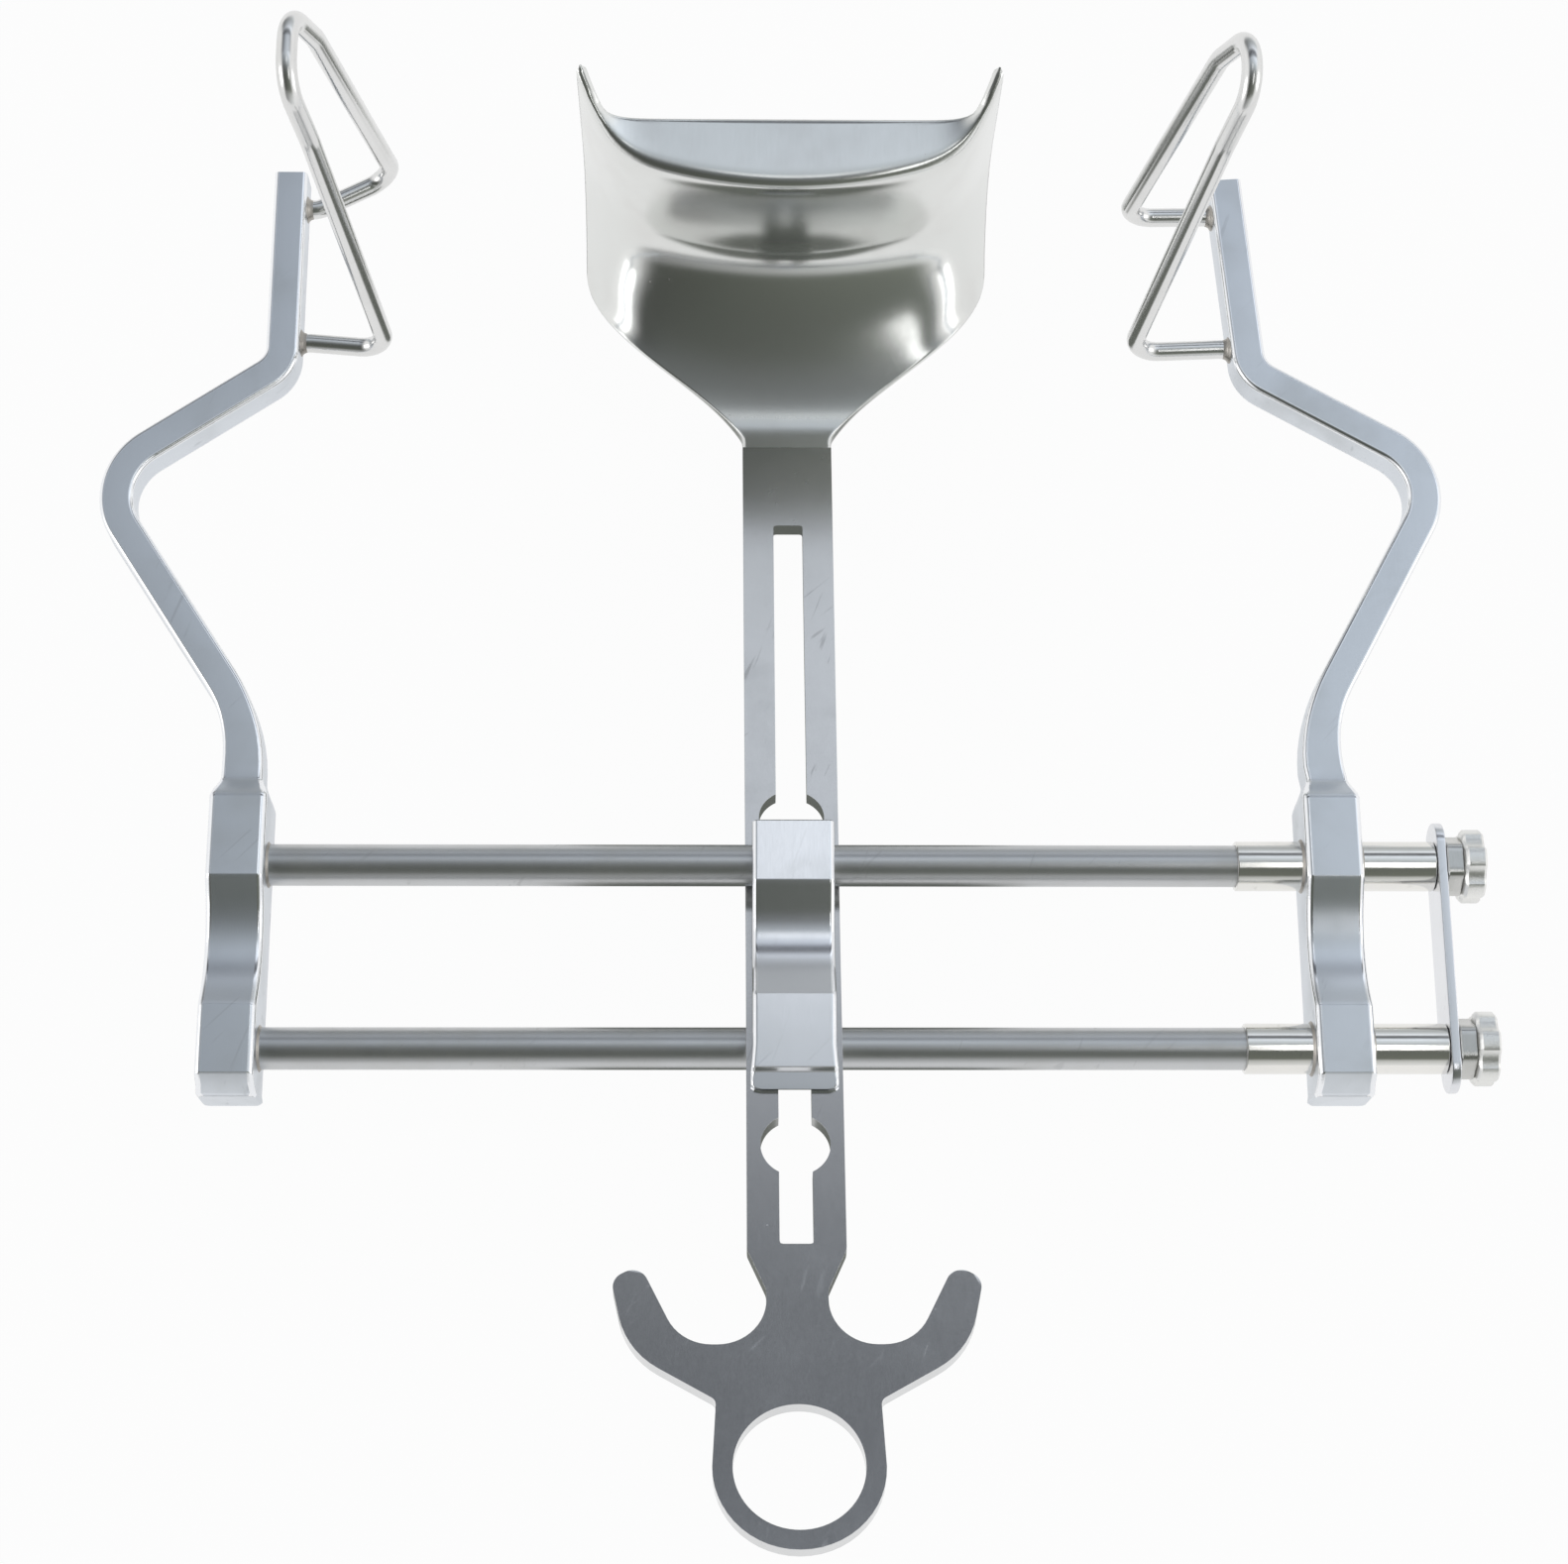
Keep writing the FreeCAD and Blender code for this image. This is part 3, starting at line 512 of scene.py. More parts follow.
def bore_for_rods(piece: Piece, x: float, reach: float, radius: float) -> None:
    """Cuts the bores for both rods into a piece and keeps the result as its mesh.

    Args:
        piece: The piece.
        x: Its middle along X.
        reach: How far the drill goes past that on both sides.
        radius: The bores' radius.
    """
    bm = bmesh.new()
    for y in LAYOUT.rods:
        turned(bm, [(0.0, 0.0), (0.0, radius), (2 * reach, radius), (2 * reach, 0.0)],
               Vector((x - reach, y, LAYOUT.rod_z)))
    tool = as_object(bm, "drill")
    cut = piece.modifiers.new("drill", "BOOLEAN")
    cut.operation = "DIFFERENCE"
    cut.solver = "EXACT"
    cut.object = tool
    finish = piece.modifiers["even_flats"]
    finish.show_viewport = False
    bpy.context.view_layer.update()
    graph = bpy.context.evaluated_depsgraph_get()
    carved = bpy.data.meshes.new_from_object(piece.evaluated_get(graph))
    piece.modifiers.remove(cut)
    finish.show_viewport = True
    used = [piece.data, tool.data]
    piece.data = carved
    carved.name = piece.name
    bpy.data.objects.remove(tool)
    for mesh in used:
        bpy.data.meshes.remove(mesh)
    carved.set_sharp_from_angle(angle=math.radians(SMOOTH_ANGLE))


# Finishes


class Wiring:
    """A node tree with short ways to add nodes to it and join them."""

    def __init__(self, tree: Tree) -> None:
        """Keeps the tree."""
        self.tree = tree

    @classmethod
    def over(cls, owner: bpy.types.Material | bpy.types.World) -> "Wiring":
        """Starts on the nodes of a material or world.

        Args:
            owner: The material or world, whose nodes are cleared.

        Returns:
            The wiring of its tree.
        """
        owner.use_nodes = True
        owner.node_tree.nodes.clear()
        return cls(owner.node_tree)

    def node(self, kind: str, inputs: dict[str | int, Value] | None = None,
             **settings: object) -> bpy.types.Node:
        """Adds a node.

        Args:
            kind: The node's type.
            inputs: A socket, number, vector or colour for each input that is given.
            **settings: The node's own settings.

        Returns:
            The node.
        """
        node = self.tree.nodes.new(kind)
        for name, setting in settings.items():
            setattr(node, name, setting)
        for label, value in (inputs or {}).items():
            socket = node.inputs[label]
            if isinstance(value, Socket):
                self.tree.links.new(value, socket)
            else:
                socket.default_value = (*value, 1.0) if socket.type == "RGBA" else value
        return node

    def math(self, operation: str, *values: Socket | float, clamp: bool = False) -> Socket:
        """Adds a math node and gives its result."""
        node = self.node("ShaderNodeMath", dict(enumerate(values)), operation=operation, use_clamp=clamp)
        return node.outputs[0]

    def noise(self, place: Socket, scale: Socket | float, detail: float, roughness: float = 0.55,
              distortion: float = 0.0) -> Socket:
        """Adds a noise texture and gives its value."""
        return self.node("ShaderNodeTexNoise", {
            "Vector": place, "Scale": scale, "Detail": detail, "Roughness": roughness,
            "Distortion": distortion}).outputs["Fac"]

    def band(self, value: Socket, low: float, high: float) -> Socket:
        """Maps a value smoothly from 0 at low to 1 at high."""
        return self.node("ShaderNodeMapRange", {"Value": value, "From Min": low, "From Max": high},
                         interpolation_type="SMOOTHSTEP").outputs["Result"]

    def stretch(self, place: Socket, by: Value) -> Socket:
        """Multiplies coordinates by a factor for each axis."""
        return self.node("ShaderNodeVectorMath", {0: place, 1: by}, operation="MULTIPLY").outputs[0]

    def split(self, place: Socket) -> bpy.types.bpy_prop_collection:
        """Gives the X, Y and Z of coordinates by their names."""
        return self.node("ShaderNodeSeparateXYZ", {0: place}).outputs

    def blend(self, share: Socket, first: Value, second: Value) -> Socket:
        """Mixes two colours by the second one's share."""
        return self.node("ShaderNodeMix", {"Factor": share, 6: first, 7: second},
                         data_type="RGBA").outputs[2]

    def effect(self, group: Tree, place: Socket, **values: Value) -> Socket:
        """Places a shared effect with its own values and gives its result."""
        return self.node("ShaderNodeGroup", {"Vector": place, **values}, node_tree=group).outputs[0]


class SharedEffect(Wiring):
    """A node group that several finishes share, with a Vector input, its own inputs and one output."""

    def __init__(self, name: str, **inputs: float | Colour) -> None:
        """Makes the group and its inputs.

        Args:
            name: The group's name.
            **inputs: Default by input.
        """
        super().__init__(bpy.data.node_groups.new(name, "ShaderNodeTree"))
        for label, default in {"Vector": (0.0, 0.0, 0.0), **inputs}.items():
            kind = "NodeSocketVector" if isinstance(default, tuple) else "NodeSocketFloat"
            socket = self.tree.interface.new_socket(name=label, in_out="INPUT", socket_type=kind)
            socket.default_value = default
        self.given = self.tree.nodes.new("NodeGroupInput").outputs

    def ended(self, label: str, result: Socket) -> Tree:
        """Adds the output.

        Args:
            label: The output's name.
            result: What feeds it.

        Returns:
            The group.
        """
        self.tree.interface.new_socket(name=label, in_out="OUTPUT", socket_type="NodeSocketFloat")
        self.node("NodeGroupOutput", {label: result})
        return self.tree


class ShaderGroups:
    """Effects that several finishes share, each built once as a node group."""

    def __init__(self) -> None:
        """Builds the groups."""
        self.grain = self.build_grain()
        self.marks = self.build_marks()
        self.scratches = self.build_scratches()
        self.edge = self.build_edge_polish_and_highlight()
        self.dust = self.build_dust()

    @staticmethod
    def build_grain() -> Tree:
        """Builds fine polishing lines drawn out along one direction.

        Returns:
            The group.
        """
        net = SharedEffect("polishing_grain", Stretch=WHITE, Scale=300.0)
        drawn = net.stretch(net.given["Vector"], net.given["Stretch"])
        fine = net.noise(drawn, net.given["Scale"], detail=3.0, roughness=0.5)
        broad = net.noise(drawn, 70.0, detail=3.0)
        return net.ended("Grain", net.math("ADD", net.math("MULTIPLY", fine, 0.7),
                                           net.math("MULTIPLY", broad, 0.3)))

    @staticmethod
    def build_marks() -> Tree:
        """Builds soft patches left by handling, washing and drying.

        Returns:
            The group.
        """
        net = SharedEffect("handling_marks", Scale=45.0)
        place = net.given["Vector"]
        cloudy = net.noise(place, net.given["Scale"], detail=4.0, roughness=0.5, distortion=0.6)
        fine = net.noise(place, 150.0, detail=2.0, roughness=0.45)
        return net.ended("Marks", net.math("MULTIPLY", net.band(cloudy, 0.40, 0.72),
                                           net.band(fine, 0.1, 0.8)))

    @staticmethod
    def build_scratches() -> Tree:
        """Builds hair scratches in two directions, broken into short lengths.

        Returns:
            The group.
        """
        net = SharedEffect("hair_scratches", Amount=0.5)
        place = net.given["Vector"]
        lines = []
        for angle, stretch in ((0.35, (900.0, 26.0, 300.0)), (-0.8, (30.0, 760.0, 300.0))):
            spun = net.node("ShaderNodeVectorRotate", {"Vector": place, "Angle": angle},
                            rotation_type="Z_AXIS").outputs[0]
            noise = net.noise(net.stretch(spun, stretch), 1.0, detail=2.0, roughness=0.4, distortion=0.25)
            lines.append(net.band(noise, 0.66, 0.74))
        gaps = net.band(net.noise(place, 120.0, detail=2.0), 0.45, 0.62)
        kept = net.math("MULTIPLY", net.math("MAXIMUM", *lines), gaps)
        return net.ended("Scratches", net.math("MULTIPLY", kept, net.given["Amount"], clamp=True))

    @staticmethod
    def build_edge_polish_and_highlight() -> Tree:
        """Builds the share of polished edge, uneven along their length; it lowers the roughness and paints a
        highlight colour on the edges.

        Returns:
            The group.
        """
        net = SharedEffect("polished_edge_and_painted_highlight", Edge=0.0, Evenness=0.8)
        noise = net.band(net.noise(net.given["Vector"], 90.0, detail=2.0), 0.2, 0.8)
        uneven = net.math("MULTIPLY", net.math("SUBTRACT", 1.0, net.given["Evenness"]), noise)
        # The share both lowers the edges' roughness and paints their brighter highlight colour.
        return net.ended("Polish", net.math("MULTIPLY", net.given["Edge"],
                                            net.math("SUBTRACT", 1.0, uneven), clamp=True))

    @staticmethod
    def build_dust() -> Tree:
        """Builds a few specks that dull the polish.

        Returns:
            The group.
        """
        net = SharedEffect("settled_specks", Scale=420.0)
        cells = net.node("ShaderNodeTexVoronoi", {"Vector": net.given["Vector"], "Scale": net.given["Scale"]})
        near = net.math("SUBTRACT", 1.0, net.band(cells.outputs["Distance"], 0.03, 0.13))
        rare = net.band(net.noise(net.given["Vector"], 300.0, detail=2.0), 0.6, 0.72)
        return net.ended("Specks", net.math("MULTIPLY", near, rare))


@dataclass(frozen=True)
class Fade:
    """A change of polish along one axis of the part, from one place in metres to another."""

    axis: str
    start: float
    end: float
    roughness: float


@dataclass(frozen=True)
class SteelFinish:
    """One way that the steel is finished.

    Attributes:
        name: The finish's name.
        slot: The record's material slot it stands for; it is not used.
        tint: Colour of the clean metal.
        marked_tint: Colour where it has been handled.
        roughness: Roughness of the clean metal.
        grain: Direction and size of the polishing lines.
        grain_scale: How fine they are.
        grain_depth: How deep they are.
        marks: How much the handled patches dull the metal.
        scratches: How many hair scratches there are.
        fade: Where the polish changes, if it does.
        edge_roughness: Roughness of the polished edges.
        edge_highlight_tint: Painted highlight colour of the polished edges, brighter than the metal.
        grain_dulling: How much the lines vary the roughness.
        wear_dulling: How much scratches and specks add to it.
        scratch_shade: Brightness of a scratch.
        scratch_depth: Depth of a scratch against the lines.
        bump_distance: Height of the bump in metres.
    """

    name: str
    slot: str
    tint: Colour
    marked_tint: Colour
    roughness: float
    grain: Grain
    grain_scale: float = 320.0
    grain_depth: float = 0.06
    marks: float = 0.10
    scratches: float = 0.4
    fade: Fade | None = None
    edge_roughness: float = 0.10
    edge_highlight_tint: Colour = (0.90, 0.91, 0.93)
    grain_dulling: float = 0.10
    wear_dulling: float = 0.16
    scratch_shade: float = 0.72
    scratch_depth: float = 0.7
    bump_distance: float = 0.0004

    def material(self, groups: ShaderGroups) -> bpy.types.Material:
        """Builds the finish as a material.

        Args:
            groups: The shared effects.

        Returns:
            The material.
        """
        steel = bpy.data.materials.new(self.name)
        net = Wiring.over(steel)
        place = net.node("ShaderNodeTexCoord").outputs["Object"]
        grain = net.effect(groups.grain, place, Stretch=self.grain.value, Scale=self.grain_scale)
        marks = net.effect(groups.marks, place)
        scratches = net.effect(groups.scratches, place, Amount=self.scratches)
        specks = net.effect(groups.dust, place)
        edge = net.node("ShaderNodeAttribute", attribute_name=EDGE_LAYER).outputs["Fac"]
        # polish marks the polished edges: it lowers their roughness and paints them with the highlight
        # colour.
        polish = net.effect(groups.edge, place, Edge=edge)

        soiled = net.blend(marks, self.tint, self.marked_tint)
        scored = net.blend(scratches, soiled, tuple(part * self.scratch_shade for part in self.tint))

        lined = net.math("MULTIPLY", net.math("SUBTRACT", grain, 0.5), self.grain_dulling)
        dull = net.math("ADD", net.math("MULTIPLY", marks, self.marks), lined)
        worn = net.math("MULTIPLY", net.math("ADD", scratches, specks), self.wear_dulling)
        rough = net.math("ADD", net.math("ADD", dull, self.clean_roughness(net, place)), worn)
        kept = net.math("MULTIPLY", rough, net.math("SUBTRACT", 1.0, polish))
        shiny = net.math("MULTIPLY", polish, self.edge_roughness)

        height = net.math("SUBTRACT", grain, net.math("MULTIPLY", scratches, self.scratch_depth))
        bump = net.node("ShaderNodeBump", {"Strength": self.grain_depth, "Distance": self.bump_distance,
                                           "Height": height})
        # The Base Color paints the polished edges in a brighter highlight colour.
        shader = net.node("ShaderNodeBsdfPrincipled", {
            "Metallic": 1.0, "Specular IOR Level": 0.5, "Normal": bump.outputs[0],
            "Base Color": net.blend(polish, scored, self.edge_highlight_tint),
            "Roughness": net.math("ADD", kept, shiny, clamp=True)})
        net.node("ShaderNodeOutputMaterial", {"Surface": shader.outputs[0]})
        return steel

    def clean_roughness(self, net: Wiring, place: Socket) -> Socket | float:
        """Finds the clean metal's roughness, which may change along the piece.

        Args:
            net: The material's wiring.
            place: Coordinates on the piece.

        Returns:
            A socket with the roughness, or the number where it doesn't change.
        """
        fade = self.fade
        if fade is None:
            return self.roughness
        share = net.band(net.split(place)[fade.axis], fade.start, fade.end)
        return net.math("ADD", net.math("MULTIPLY", share, fade.roughness - self.roughness), self.roughness)


class Finish(Enum):
    """The finishes used on the instrument."""

    ARM = SteelFinish("satin_arm_steel", "satin_steel", (0.70, 0.735, 0.78), (0.62, 0.65, 0.68), 0.33,
                      Grain.ALONG_Y, grain_depth=0.03, marks=0.08)
    SADDLE = SteelFinish("satin_saddle_steel", "satin_steel", (0.78, 0.79, 0.82), (0.74, 0.75, 0.77), 0.20,
                         Grain.ALONG_Y, grain_depth=0.02, marks=0.04, scratches=0.2)
    ROD = SteelFinish("ground_rod_steel", "rod_steel", (0.58, 0.59, 0.60), (0.54, 0.545, 0.54), 0.33,
                      Grain.TURNED, grain_depth=0.02, marks=0.05)
    MIRROR = SteelFinish("mirror_sleeve_steel", "mirror_steel", (0.84, 0.83, 0.80), (0.76, 0.75, 0.72), 0.12,
                         Grain.ALONG_X, grain_depth=0.015, marks=0.08, scratches=0.3)
    WIRE = SteelFinish("polished_wire_steel", "mirror_steel", (0.76, 0.76, 0.755), (0.70, 0.70, 0.69), 0.19,
                       Grain.ALONG_Y, grain_depth=0.006, marks=0.04, scratches=0.1)
    BLADE = SteelFinish("polished_blade_steel", "blade_steel", (0.76, 0.77, 0.755), (0.72, 0.72, 0.705), 0.33,
                        Grain.ALONG_Y, grain_depth=0.012, marks=0.03, scratches=0.04,
                        fade=Fade("Y", 0.128, 0.134, 0.17))
    HANDLE = SteelFinish("satin_handle_steel", "blade_steel", (0.71, 0.715, 0.72), (0.67, 0.675, 0.68), 0.18,
                         Grain.ALONG_Y, grain_depth=0.012, marks=0.03, scratches=0.5,
                         fade=Fade("Y", 0.085, 0.118, 0.24))
    COLLAR = SteelFinish("turned_collar_nickel", "knob_nickel", (0.60, 0.60, 0.585), (0.50, 0.50, 0.48), 0.21,
                         Grain.TURNED)
    KNOB = SteelFinish("matte_knob_nickel", "knob_nickel", (0.84, 0.84, 0.82), (0.78, 0.78, 0.76), 0.32,
                       Grain.BLASTED, grain_scale=900.0, grain_depth=0.22)
    BRAZE = SteelFinish("heat_tinted_braze", "satin_steel", (0.42, 0.40, 0.37), (0.30, 0.28, 0.26), 0.36,
                        Grain.BLASTED, grain_depth=0.15, marks=0.12)


class FinishRack:
    """Makes each finish's material the first time it is asked for."""

    def __init__(self) -> None:
        """Builds the shared effects."""
        self.groups = ShaderGroups()
        self.made: dict[Finish, bpy.types.Material] = {}

    def dress(self, piece: Piece, finish: Finish) -> None:
        """Gives a piece a finish.

        Args:
            piece: The piece.
            finish: The finish.
        """
        if finish not in self.made:
            self.made[finish] = finish.value.material(self.groups)
        piece.data.materials.clear()
        piece.data.materials.append(self.made[finish])


# Pieces


@dataclass
class SubAssembly:
    """A group of pieces that are built, dressed and fixed to their body together."""

    rack: FinishRack

    def fit(self, piece: Piece, body: str, finish: Finish, *nodes: str) -> None:
        """Dresses a piece and fixes it to its body.

        Args:
            piece: The piece.
            body: The body it moves with.
            finish: Its finish.
            *nodes: The CAD nodes it stands for.
        """
        self.rack.dress(piece, finish)
        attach(piece, body)
        if nodes:
            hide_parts(*nodes)
        LOG.info("%s: %d faces on %s", piece.name, len(piece.data.polygons), body)


@dataclass
class ArmSizes:
    """Sizes of a block and the arm that grows out of it."""

    half_width: float = 5.5
    depth: float = 14.0
    head: float = 30.5
    tail: float = 27.6
    tail_bevel: float = 3.4
    tail_drop: float = 4.6
    shoulder: float = 4.0
    waist_centre: float = 1.5
    waist_half: float = 12.5
    waist_drop: float = 7.0
    waist_round: float = 0.8
    block_corner: float = 1.15
    arm_half_width: float = 3.3
    arm_depth: float = 7.6
    arm_corner: float = 0.85
    root_extra: float = 0.7
    root_length: float = 18.0
    splay_start: float = 47.0
    bulge_out: float = 32.6
    bulge_at: float = 97.0
    bar_inset: float = 3.6
    bar_start: float = 122.0
    top: float = 165.2
    bends: tuple[float, float, float] = (32.0, 13.0, 7.0)
    upper_seat: float = 158.5
    lower_seat: float = 128.3


@dataclass
class Arm(SubAssembly):
    """One arm: the waisted block on the rods, the curved arm and the bar that carries a side blade."""

    side: Side
    lean: float = 0.0
    station: float = 0.0
    bore: float = 4.03
    sizes: ArmSizes = field(default_factory=ArmSizes)

    @property
    def body(self) -> str:
        """The body that the arm belongs to."""
        return "frame" if self.side is Side.FIXED else "sliding_side"

    @property
    def name(self) -> str:
        """The word that the names of the arm's pieces start with."""
        return self.side.name.lower()

    def leaned(self, outward: float, y: float) -> Vector:
        """Places a point of the arm, turned inwards with the arm about its block's head.

        Args:
            outward: Distance from the block's middle, away from the wound.
            y: Place along Y before the turn.

        Returns:
            The point at the height of the rods.
        """
        above = y - self.sizes.head
        turn = math.radians(self.lean)
        out = outward * math.cos(turn) - above * math.sin(turn)
        along = self.sizes.head + above * math.cos(turn) + outward * math.sin(turn)
        return Vector((self.station + self.side.value * out, along, LAYOUT.rod_z))

    def front_height(self, y: float) -> float:
        """Finds the block's front face.

        Args:
            y: Place along Y.

        Returns:
            Its height above the rods' plane.
        """
        sizes = self.sizes
        half = sizes.depth / 2
        past = sizes.tail_bevel - sizes.tail - y
        if past > 0:
            return half - sizes.tail_drop * min(1.0, past / sizes.tail_bevel)
        across = abs(y - sizes.waist_centre)
        if across >= sizes.waist_half:
            return half
        slope = sizes.waist_drop / sizes.waist_half
        radius = sizes.waist_round * math.hypot(sizes.waist_half, sizes.waist_drop) / slope
        turn = math.atan(slope)
        if across > radius * math.sin(turn):
            return half - (sizes.waist_half - across) * slope
        bottom = half - sizes.waist_drop + radius * (1 / math.cos(turn) - 1)
        return bottom + radius - math.sqrt(radius * radius - across * across)

    def block_rings(self) -> list[list[Vector]]:
        """Lists the block's sections from its tail to its neck.

        Returns:
            The points of each section.
        """
        sizes = self.sizes
        half = sizes.depth / 2
        corner = sizes.block_corner
        boxes = []
        for inset in (0.45, 0.13, 0.0):
            y = 0.45 - sizes.tail - inset
            boxes.append((y, sizes.half_width - inset + 0.2, inset - half, self.front_height(y) - inset,
                          corner))
        bevel = sizes.tail_bevel - sizes.tail
        waist = [sizes.waist_centre + sizes.waist_half * step / 14 for step in range(-14, 15)]
        for y in (1.7 - sizes.tail, bevel - 0.25, bevel + 0.2, -17.5, waist[0] - 0.35, *waist,
                  waist[-1] + 0.35, 20.0, 25.0, 29.4):
            boxes.append((y, sizes.half_width, -half, self.front_height(y), corner))
        narrower = sizes.arm_half_width + sizes.root_extra - sizes.half_width
        for share in (0.0, 0.16, 0.36, 0.6, 0.82, 1.0):
            ease = (eased(share) + share) / 2
            deep = half + (sizes.arm_depth / 2 - half) * ease
            boxes.append((sizes.head - 0.4 + (sizes.shoulder + 0.4) * share,
                          sizes.half_width + narrower * ease, -deep, deep,
                          corner + (sizes.arm_corner - corner) * share))
        return [section(Vector((self.station, y, LAYOUT.rod_z)), Y_AXIS, rounded_box(*box))
                for y, *box in boxes]

    def arm_rings(self) -> list[list[Vector]]:
        """Lists the arm's sections from the block's neck to the bar's rounded top.

        Returns:
            The points of each section.
        """
        sizes = self.sizes
        corners = [self.leaned(out, y) for out, y in (
            (0.0, sizes.head + sizes.shoulder), (0.0, sizes.splay_start), (sizes.bulge_out, sizes.bulge_at),
            (-sizes.bar_inset, sizes.bar_start), (-sizes.bar_inset, sizes.top))]
        deep = sizes.arm_depth / 2
        places = rounded_route(corners, sizes.bends, turn=4.0, run=4.0)
        rings = []
        for place, way in places[1:]:
            left = clamp(1 - (place - corners[0]).length / sizes.root_length)
            half_wide = sizes.arm_half_width + sizes.root_extra * eased(left)
            rings.append(section(place, way, rounded_box(half_wide, -deep, deep, sizes.arm_corner)))
        end, way = places[-1]
        for inset, ahead in ((0.12, 0.0), (0.5, 0.28), (1.2, 0.28)):
            rings.append(section(end + way * ahead, way, rounded_box(
                sizes.arm_half_width - inset, inset - deep, deep - inset, sizes.arm_corner)))
        return rings

    def build(self) -> None:
        """Builds the forging, its holes and its brazed joints."""
        bm = bmesh.new()
        loft(bm, self.block_rings() + self.arm_rings())
        mark_corner_strips(bm)
        piece = finished(bm, self.name + "_arm_forging")
        bore_for_rods(piece, self.station, self.sizes.half_width + 1, self.bore)
        self.fit(piece, self.body, Finish.ARM, self.name + "_arm")
        self.build_brazes()

    def build_brazes(self) -> None:
        """Builds the braze fillets where wires, rods or sleeves enter the forging."""
        sizes = self.sizes
        inward = X_AXIS * -self.side.value
        bm = bmesh.new()
        for seat in (sizes.upper_seat, sizes.lower_seat):
            foot = self.leaned(-sizes.bar_inset, seat) + inward * (sizes.arm_half_width - 0.25)
            turned(bm, [(0.0, 2.9), (0.3, 2.75), (0.55, 2.35), (0.9, 2.08), (1.5, 1.88)], foot, inward,
                   steps=32)
        radius = self.bore - 0.03
        for y in LAYOUT.rods:
            for way in ((1, -1) if self.side is Side.SLIDING else (1,)):
                foot = Vector((self.station + way * (sizes.half_width - 0.15), y, LAYOUT.rod_z))
                turned(bm, [(0.0, radius + 0.55), (0.22, radius + 0.42), (0.38, radius + 0.18),
                            (0.62, radius - 0.01)], foot, X_AXIS * way, steps=56)
        self.fit(finished(bm, self.name + "_arm_brazing", smooth_angle=60.0), self.body, Finish.BRAZE)


@dataclass
class WireBlade(SubAssembly):
    """A side blade: one wire from seat to seat, out to a corner, up a leg, round the tip and back."""

    arm: Arm
    reach: float
    upper_corner: float
    leg_upper: float
    leg_lean: float
    radius: float = 1.9
    lower_corner: float = 127.0
    leg_lower: float = 136.4
    knee: float = 2.2
    seated: float = 0.6
    depth: float = 81.0
    curl: float = 14.0
    curl_out: float = 1.2
    tip_taper: float = 3.6
    bend: float = 5.2
    curl_bend: float = 14.0
    tip_bend: float = 7.2
    sides: int = 24

    def corners(self) -> list[Vector]:
        """Lists the corners that the wire is bent around.

        Returns:
            The corners from the upper seat to the lower one.
        """
        sizes = self.arm.sizes
        inward = -self.arm.side.value
        level = LAYOUT.rod_z
        seats = [self.arm.leaned(-sizes.bar_inset, seat) for seat in (sizes.upper_seat, sizes.lower_seat)]
        corner_x = (seats[0].x + seats[1].x) / 2 + inward * self.reach
        curl_at = self.depth - self.curl
        leg_x = corner_x - inward * curl_at * self.leg_lean
        tip_x = leg_x - inward * (self.curl * self.leg_lean + self.curl_out)
        halves = [[seat + X_AXIS * inward * (sizes.arm_half_width - self.seated),
                   seat + X_AXIS * inward * (sizes.arm_half_width + self.knee),
                   Vector((corner_x, corner_y, level)), Vector((leg_x, leg_y, level + curl_at)),
                   Vector((tip_x, leg_y + taper, level + self.depth))]
                  for seat, corner_y, leg_y, taper in (
                      (seats[0], self.upper_corner, self.leg_upper, -self.tip_taper),
                      (seats[1], self.lower_corner, self.leg_lower, self.tip_taper))]
        return halves[0] + halves[1][::-1]

    def build(self) -> None:
        """Sweeps the wire."""
        radii = [self.bend, self.bend, self.curl_bend, self.tip_bend]
        places = rounded_route(self.corners(), radii + radii[::-1], turn=5.0)
        way = places[0][1]
        spoke = way.orthogonal().normalized() * self.radius
        rings = []
        for place, ahead in places:
            spoke = way.rotation_difference(ahead) @ spoke
            way = ahead
            rings.append([place + Quaternion(way, math.tau * step / self.sides) @ spoke
                          for step in range(self.sides)])
        bm = bmesh.new()
        loft(bm, rings)
        self.fit(finished(bm, self.arm.name + "_side_blade_wire"), self.arm.body, Finish.WIRE,
                 self.arm.name + "_wire_blade")


